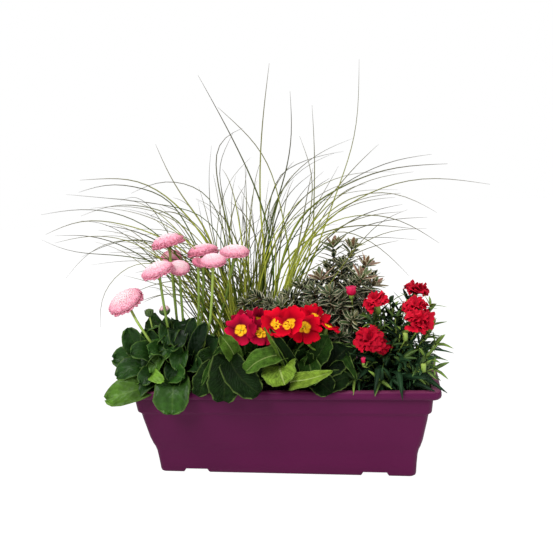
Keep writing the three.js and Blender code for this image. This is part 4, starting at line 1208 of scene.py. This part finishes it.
carnation = {
    "crown": (170, -8, 133),
    "facing": [
        (-0.1, -0.22, 0.95), (-0.15, -0.7, 0.7), (0.05, -0.42, 0.9), (0.2, -0.42, 0.87), (0.4, 0.12, 0.9),
        (0.4, -0.8, 0.4)
    ],
    # flowers then buds, in millimetres
    "nudge": [
        (1, 0, -4), (0, 0, -2), (-4, 0, -6), (-1, -4, 1), (1, 0, -9), (-11, 0, 6), (0, 0, -2), (-1, -34, 10)
    ],
    "bright": [1, 1, 1, 1, 0.3, 0.8],  # how bright each flower's red is
    "petals": 25,
    "budPetals": 12,
    "greenBuds": [(199, -60, 219), (224, -86, 178)],
    "greenBudMm": (2, 11, 8),  # how far a green bud reaches below and above its place, and its width
    "budSpread": (0.34, 0.22),  # each bud's half width in its length
    "stalkBends": {6: (122, 24, 226)},  # where a stalk leaves the common arch
    "calyxMm": (18, 2, 9.5),  # where a flower's calyx starts and ends below its middle, and its width
    "largestMm": 28,  # the widest that a flower's radius may be
    "stalkMm": 2.6,
    "stemMm": 2.2,
    "jointMm": 12,  # from one joint of a stem to the next
    "leafMm": (30, 48),
    "leafWidth": 6.8,
    "fill": 34,  # more leafy shoots, spread by rule
    "seed": 51,
    "stems": [  # leafy shoots, by their tips
        (240, -10, 258), (244, -40, 205), (240, -60, 172), (234, -40, 222), (228, 10, 250), (205, -30, 236),
        (196, -60, 190), (150, -40, 238), (128, -50, 205), (120, -70, 160), (182, -10, 258), (212, -70, 165),
        (160, -80, 160), (236, 20, 200), (185, -30, 246), (192, -10, 250), (178, 10, 262), (160, 10, 256),
        (205, 34, 262), (192, -44, 226), (168, -20, 240), (225, 40, 230), (180, 40, 230), (140, 20, 220),
        (200, 60, 190), (150, 60, 190), (240, 0, 225), (228, -60, 190), (222, -74, 178),
    ],
    "broad": [  # long basal leaves: tip, bend, width, tint, the way its blade faces
        ((258, -86, 143), (214, -66, 168), 15, 0.2, (0.1, -0.8, 0.6)),
        ((150, -102, 146), (160, -72, 184), 14, 0.15, (-0.1, -0.9, 0.3)),
        ((192, -104, 138), (186, -78, 178), 15, 0.25, (0.2, -0.9, 0.3)),
        ((226, -100, 170), (198, -70, 164), 14, 0.2, (-0.2, -0.9, 0.4)),
        ((124, -96, 166), (144, -66, 176), 13, 0.1, (-0.2, -0.9, 0.3)),
        ((240, -98, 150), (206, -70, 156), 14, 0.1, (0, -0.9, 0.4)),
        ((272, -44, 192), (228, -34, 196), 9, 0.5, (0, -0.7, 0.7)),
        ((262, 6, 190), (226, -4, 190), 9, 0.4, (0, -0.7, 0.7)),
        ((206, -94, 196), (188, -60, 186), 12, 0.3, (0.2, -0.9, 0.2)),
        ((168, -96, 190), (172, -60, 188), 12, 0.2, (-0.2, -0.9, 0.2)),
        ((264, -30, 176), (228, -28, 182), 10, 0.75, (0.1, -0.7, 0.7)),
        ((116, -60, 196), (146, -46, 186), 14, 0.05, (-0.2, -0.9, 0.3)),
        ((246, -70, 196), (212, -50, 176), 12, 0.3, (-0.2, -0.9, 0.4)),
        ((136, -80, 196), (152, -52, 184), 12, 0.25, (0.2, -0.9, 0.3)),
    ],
}
carnationLeafSkin = leafSkin("carnationLeafSkin", {
    "dark": "#0F2214", "mid": "#28482A", "light": "#7A963E", "rib": "#7C9468", "edge": "#6E8A58",
    "roughness": 0.5, "gloss": 0.2, "mottleMm": 20, "puckerMm": 20, "veins": 1, "veinSlant": 0.0,
    "wander": 0.0, "furrowShadeShow": 0.0, "inner": 0.7, "ribShow": 0.3, "edgeHighlightShow": 0.2, "relief": 0.0,
    "reliefMm": 0.3,
})
# Carnation petal: matte, crinkled scarlet, with painted shade making it darker towards its foot, in the folds
# deep in the flower.
carnationPetal = softRamp(
    "carnationPetal",
    [(0, "#48020F"), (0.5, "#940620"), (0.85, "#C60A28"), (1, "#DE1E3C")],
    [(0, "#8E0620"), (1, "#DC1030")],
    0.45,
    {"Roughness": 0.65, "IOR": 1.4, "Specular IOR Level": 0.12},
)
# Unopened petals: a cooler pink, rolled tight.
budPink = softRamp(
    "budPink",
    [(0, "#8E0A30"), (0.6, "#C80C40"), (1, "#EA4676")],
    [(0, "#B00A38"), (1, "#D81C50")],
    0.4,
    {"Roughness": 0.55, "IOR": 1.4, "Specular IOR Level": 0.15},
)


def drawCarnationPetal():
    petal = drawLeaf(8, 6, [
        (0, 0.12), (0.3, 0.22), (0.5, 0.55), (0.75, 0.95), (1, 1.05)
    ], fold=0.06, ruffle=0.15, thickness=0.03, crowd=1)
    bpy.ops.object.mode_set(mode="EDIT")
    pick(petal, "VERT", lambda v: v.co.y > 0.99 and round((v.co.x / 1.05 + 0.5) * 8) % 2 == 0)
    bpy.ops.transform.translate(value=(0, -0.09, 0))
    bpy.ops.object.mode_set(mode="OBJECT")
    return asBlank(petal)


def makeCarnationFlower(number, petal, calyx, draw):
    node = f"carnation_flower_{number + 1}"
    low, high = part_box(node)
    facing = unit(carnation["facing"][number])
    centre = middleOf(node) + np.array(carnation["nudge"][number]) * mm
    radius = min(max(high - low) / 2, carnation["largestMm"] * mm)
    first, second = axesOf(facing)
    start, end, width = (each * mm for each in carnation["calyxMm"])
    foot = centre - facing * start
    copies = [copyOf(calyx, [foot, centre - facing * end], width, first, 0.4, 1)]
    for k in range(carnation["petals"]):
        share = math.sqrt((k + 0.5) / carnation["petals"])
        turn = k * goldenTurn + draw.normal() * 0.25
        out = around(turn, first, second)
        up = 0.6 * (1 - share) ** 0.7 + draw.normal() * 0.09
        reach = radius * (0.3 + 0.74 * share) * draw.uniform(0.85, 1.08)
        middle = out * reach * 0.45 + facing * radius * (up * 0.75)
        path = np.array([out * 0.002 - facing * 0.003, middle, out * reach + facing * radius * up])
        side = unit(np.cross(out, facing) + facing * draw.normal() * 0.45)
        width = radius * draw.uniform(0.9, 1.25)
        copies.append(copyOf(petal, path + centre, width, side, draw.random() * carnation["bright"][number]))
    piece = gather(f"carnationFlower{number + 1}", copies, [carnationPetal, freshStalk])
    finishPiece(piece, "carnation_red", node)
    return foot * 1000


def makeCarnationBud(number, petal, calyx, draw):
    node = f"carnation_bud_{number}"
    low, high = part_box(node)
    length = high.z - low.z
    spread = carnation["budSpread"][number - 1]
    shift = np.array(carnation["nudge"][len(carnation["facing"]) + number - 1]) * mm
    foot = middleOf(node) - upright * length / 2 + shift
    top = foot + upright * length
    copies = [copyOf(calyx, [foot, foot + upright * length * 0.36], length * 0.36, sideways, 0.1, 1)]
    for k in range(carnation["budPetals"]):
        out = around(k * goldenTurn)
        middle = foot + upright * length * 0.5 + out * length * spread
        tip = top + out * length * draw.uniform(0.35, 1.0) * spread - upright * draw.uniform(0, 0.12) * length
        path = [foot + upright * length * 0.14, middle, tip]
        copies.append(copyOf(petal, path, length * 1.65 * spread, np.cross(out, upright), draw.random()))
    finishPiece(gather(f"carnationBud{number}", copies, [budPink, freshStalk]), "carnation_red", node)
    return foot * 1000


def leafyStem(foot, tip, slim, draw):
    # a jointed stem with a pair of leaves at each joint, a quarter turn from the last; the stems reaching
    # furthest along +X are paler, a painted highlight where light falls on them
    paintedHighlight = 0.45 * np.clip((tip[0] - carnation["crown"][0] - 45) / 25, 0, 1)
    middle = foot + (tip - foot) * [0.5, 0.5, 0.45]
    path = np.array([foot, middle, tip])
    width = carnation["stemMm"] * mm
    copies = [copyOf(stalkBlank, path * mm, width, np.array([1.0, 0.2, 0.0]), draw.random(), 1)]
    joints = int(np.linalg.norm(tip - foot) / carnation["jointMm"]) + 1
    places, ways = alongCurve(path, np.linspace(0, 1, joints + 1))
    for level in range(1, joints + 1):
        ahead = ways[level]
        first, second = axesOf(ahead)
        last = level == joints
        for k in range(4 if last else 2):
            turn = level * math.pi / 2 + k * math.pi / (2 if last else 1) + draw.normal() * 0.3
            out = around(turn, first, second)
            length = draw.uniform(*carnation["leafMm"]) * (1 - 0.4 * level / joints)
            aim = unit(out * 0.8 + ahead * 0.65)
            curl = out * length * 0.12 - upright * length * draw.uniform(0, 0.25)
            spot = places[level]
            leafPath = np.array([spot, spot + aim * length * 0.5, spot + aim * length + curl])
            width = carnation["leafWidth"] * mm * draw.uniform(0.7, 1.15)
            tint = min(1, draw.beta(1.3, 2.4) + 0.25 * last + paintedHighlight)
            copies.append(copyOf(slim, leafPath * mm, width, np.cross(out, ahead), tint))
    return copies


def makeCarnation():
    draw = np.random.default_rng(carnation["seed"])
    petal = drawCarnationPetal()
    calyx = asBlank(
        drawRod(10, [(0, 0.24, 0.24), (0.08, 0.42, 0.42), (0.5, 0.5, 0.5), (0.85, 0.5, 0.5), (1, 0.42, 0.42)])
    )
    slim = asBlank(drawRod(4, [
        (0, 0.3, 0.08), (0.2, 0.48, 0.1), (0.45, 0.5, 0.1), (0.7, 0.36, 0.08), (0.9, 0.16, 0.05),
        (1, 0.02, 0.02)
    ]))
    crown = np.array(carnation["crown"], float)
    ends = [makeCarnationFlower(number, petal, calyx, draw) for number in range(len(carnation["facing"]))]
    ends += [makeCarnationBud(number, petal, calyx, draw) for number in (1, 2)]
    copies = []
    for k, (spot, end) in enumerate(zip(crownSpots(crown, len(ends), 10), ends)):
        bend = carnation["stalkBends"].get(k)
        copies.append(growStalk(spot, end, carnation["stalkMm"], draw.random(), bend))
    tips = [np.array(tip, float) for tip in carnation["stems"]]
    for k in range(carnation["fill"]):
        turn = k * goldenTurn
        share = (k + 0.5) / carnation["fill"]
        out = np.array([math.cos(turn), math.sin(turn) * 0.9, 0])
        reach = (68 - 42 * share) * draw.uniform(0.85, 1.1)
        height = (22 + 84 * share) * draw.uniform(0.9, 1.1)
        tips.append(crown + out * reach + upright * height)
    for tip in tips:
        copies += leafyStem(crown + draw.normal(size=3) * [8, 8, 0], tip, slim, draw)
    copies += [growLeaf(slim, crown, *key) for key in carnation["broad"]]
    for spot in carnation["greenBuds"]:
        top = np.array(spot, float)
        copies.append(growStalk(crown, top, 2.0, 0.4))
        below, above, width = carnation["greenBudMm"]
        path = np.array([top - upright * below, top + upright * above]) * mm
        copies.append(copyOf(calyx, path, width * mm, sideways, 0.9, 1))
    piece = gather("carnationPlant", copies, [carnationLeafSkin, freshStalk])
    finishPiece(piece, "carnation_green", "carnation_leaves_and_stems")


makeCarnation()
print("carnation done")


# Floor, light and camera.

studio = {
    "floorRadius": 6,
    "floorColour": "#E6E6E6",
    "floorGlow": 0.93,  # how much of the floor the camera sees as plain white
    "skyStrength": 0.32,
    "lamps": [((-1.1, -1.9, 2.6), 89), ((1.9, -1.6, 1.0), 18), ((0.5, 1.3, 2.4), 34)],  # place and power
    "lampSize": 2.0,
    "lampAim": (0, 0, 0.25),
    "glowStrength": 1.08,
}
camera = {"place": (0.1828, -1.0550, 0.4959), "aim": (-0.0049, 0.0, 0.3123), "roll": -3.46, "lens": 43.12}


def seenOrLit(tree, seen, lit):
    # one value for what the camera sees, another for the light it gives
    ray = tree.nodes.new("ShaderNodeLightPath")
    level = tree.nodes.new("ShaderNodeMapRange")
    tree.links.new(ray.outputs["Is Camera Ray"], level.inputs["Value"])
    level.inputs["To Min"].default_value = lit
    level.inputs["To Max"].default_value = seen
    return level.outputs["Result"]


def makeStudio():
    bpy.ops.mesh.primitive_circle_add(vertices=96, radius=studio["floorRadius"], fill_type="NGON")
    floor = bpy.context.object
    floor.name = "paleFloor"
    material, shader = newMaterial(
        "palePaintedFloor", {"Base Color": studio["floorColour"], "Roughness": 0.7}
    )
    glow = addNode(material, "Emission", {"Color": "#FFFFFF", "Strength": studio["glowStrength"]})
    mixed = addNode(material, "MixShader", {"Fac": seenOrLit(material.node_tree, studio["floorGlow"], 0.0),
                                            1: shader.outputs["BSDF"], 2: glow.outputs["Emission"]})
    feed(material, material.node_tree.nodes["Material Output"], {"Surface": mixed.outputs["Shader"]})
    floor.data.materials.append(material)
    for place, power in studio["lamps"]:
        bpy.ops.object.light_add(type="AREA", location=place)
        lamp = bpy.context.object
        lamp.data.shape = "DISK"
        lamp.data.size = studio["lampSize"]
        lamp.data.energy = power
        lamp.rotation_euler = (Vector(studio["lampAim"]) - Vector(place)).to_track_quat("-Z", "Y").to_euler()
    world = bpy.data.worlds.new("softStudio")
    bpy.context.scene.world = world
    world.use_nodes = True
    sky = world.node_tree.nodes["Background"]
    sky.inputs["Color"].default_value = (1, 1, 1, 1)
    world.node_tree.links.new(seenOrLit(world.node_tree, 1.0, studio["skyStrength"]), sky.inputs["Strength"])
    bpy.context.scene.view_settings.view_transform = "Standard"


def makeCamera():
    place, aim = Vector(camera["place"]), Vector(camera["aim"])
    turn = (aim - place).to_track_quat("-Z", "Y") @ Quaternion((0, 0, 1), math.radians(camera["roll"]))
    bpy.ops.object.camera_add(location=place, rotation=turn.to_euler())
    made = bpy.context.object
    made.data.lens = camera["lens"]
    bpy.context.scene.camera = made


makeStudio()
makeCamera()
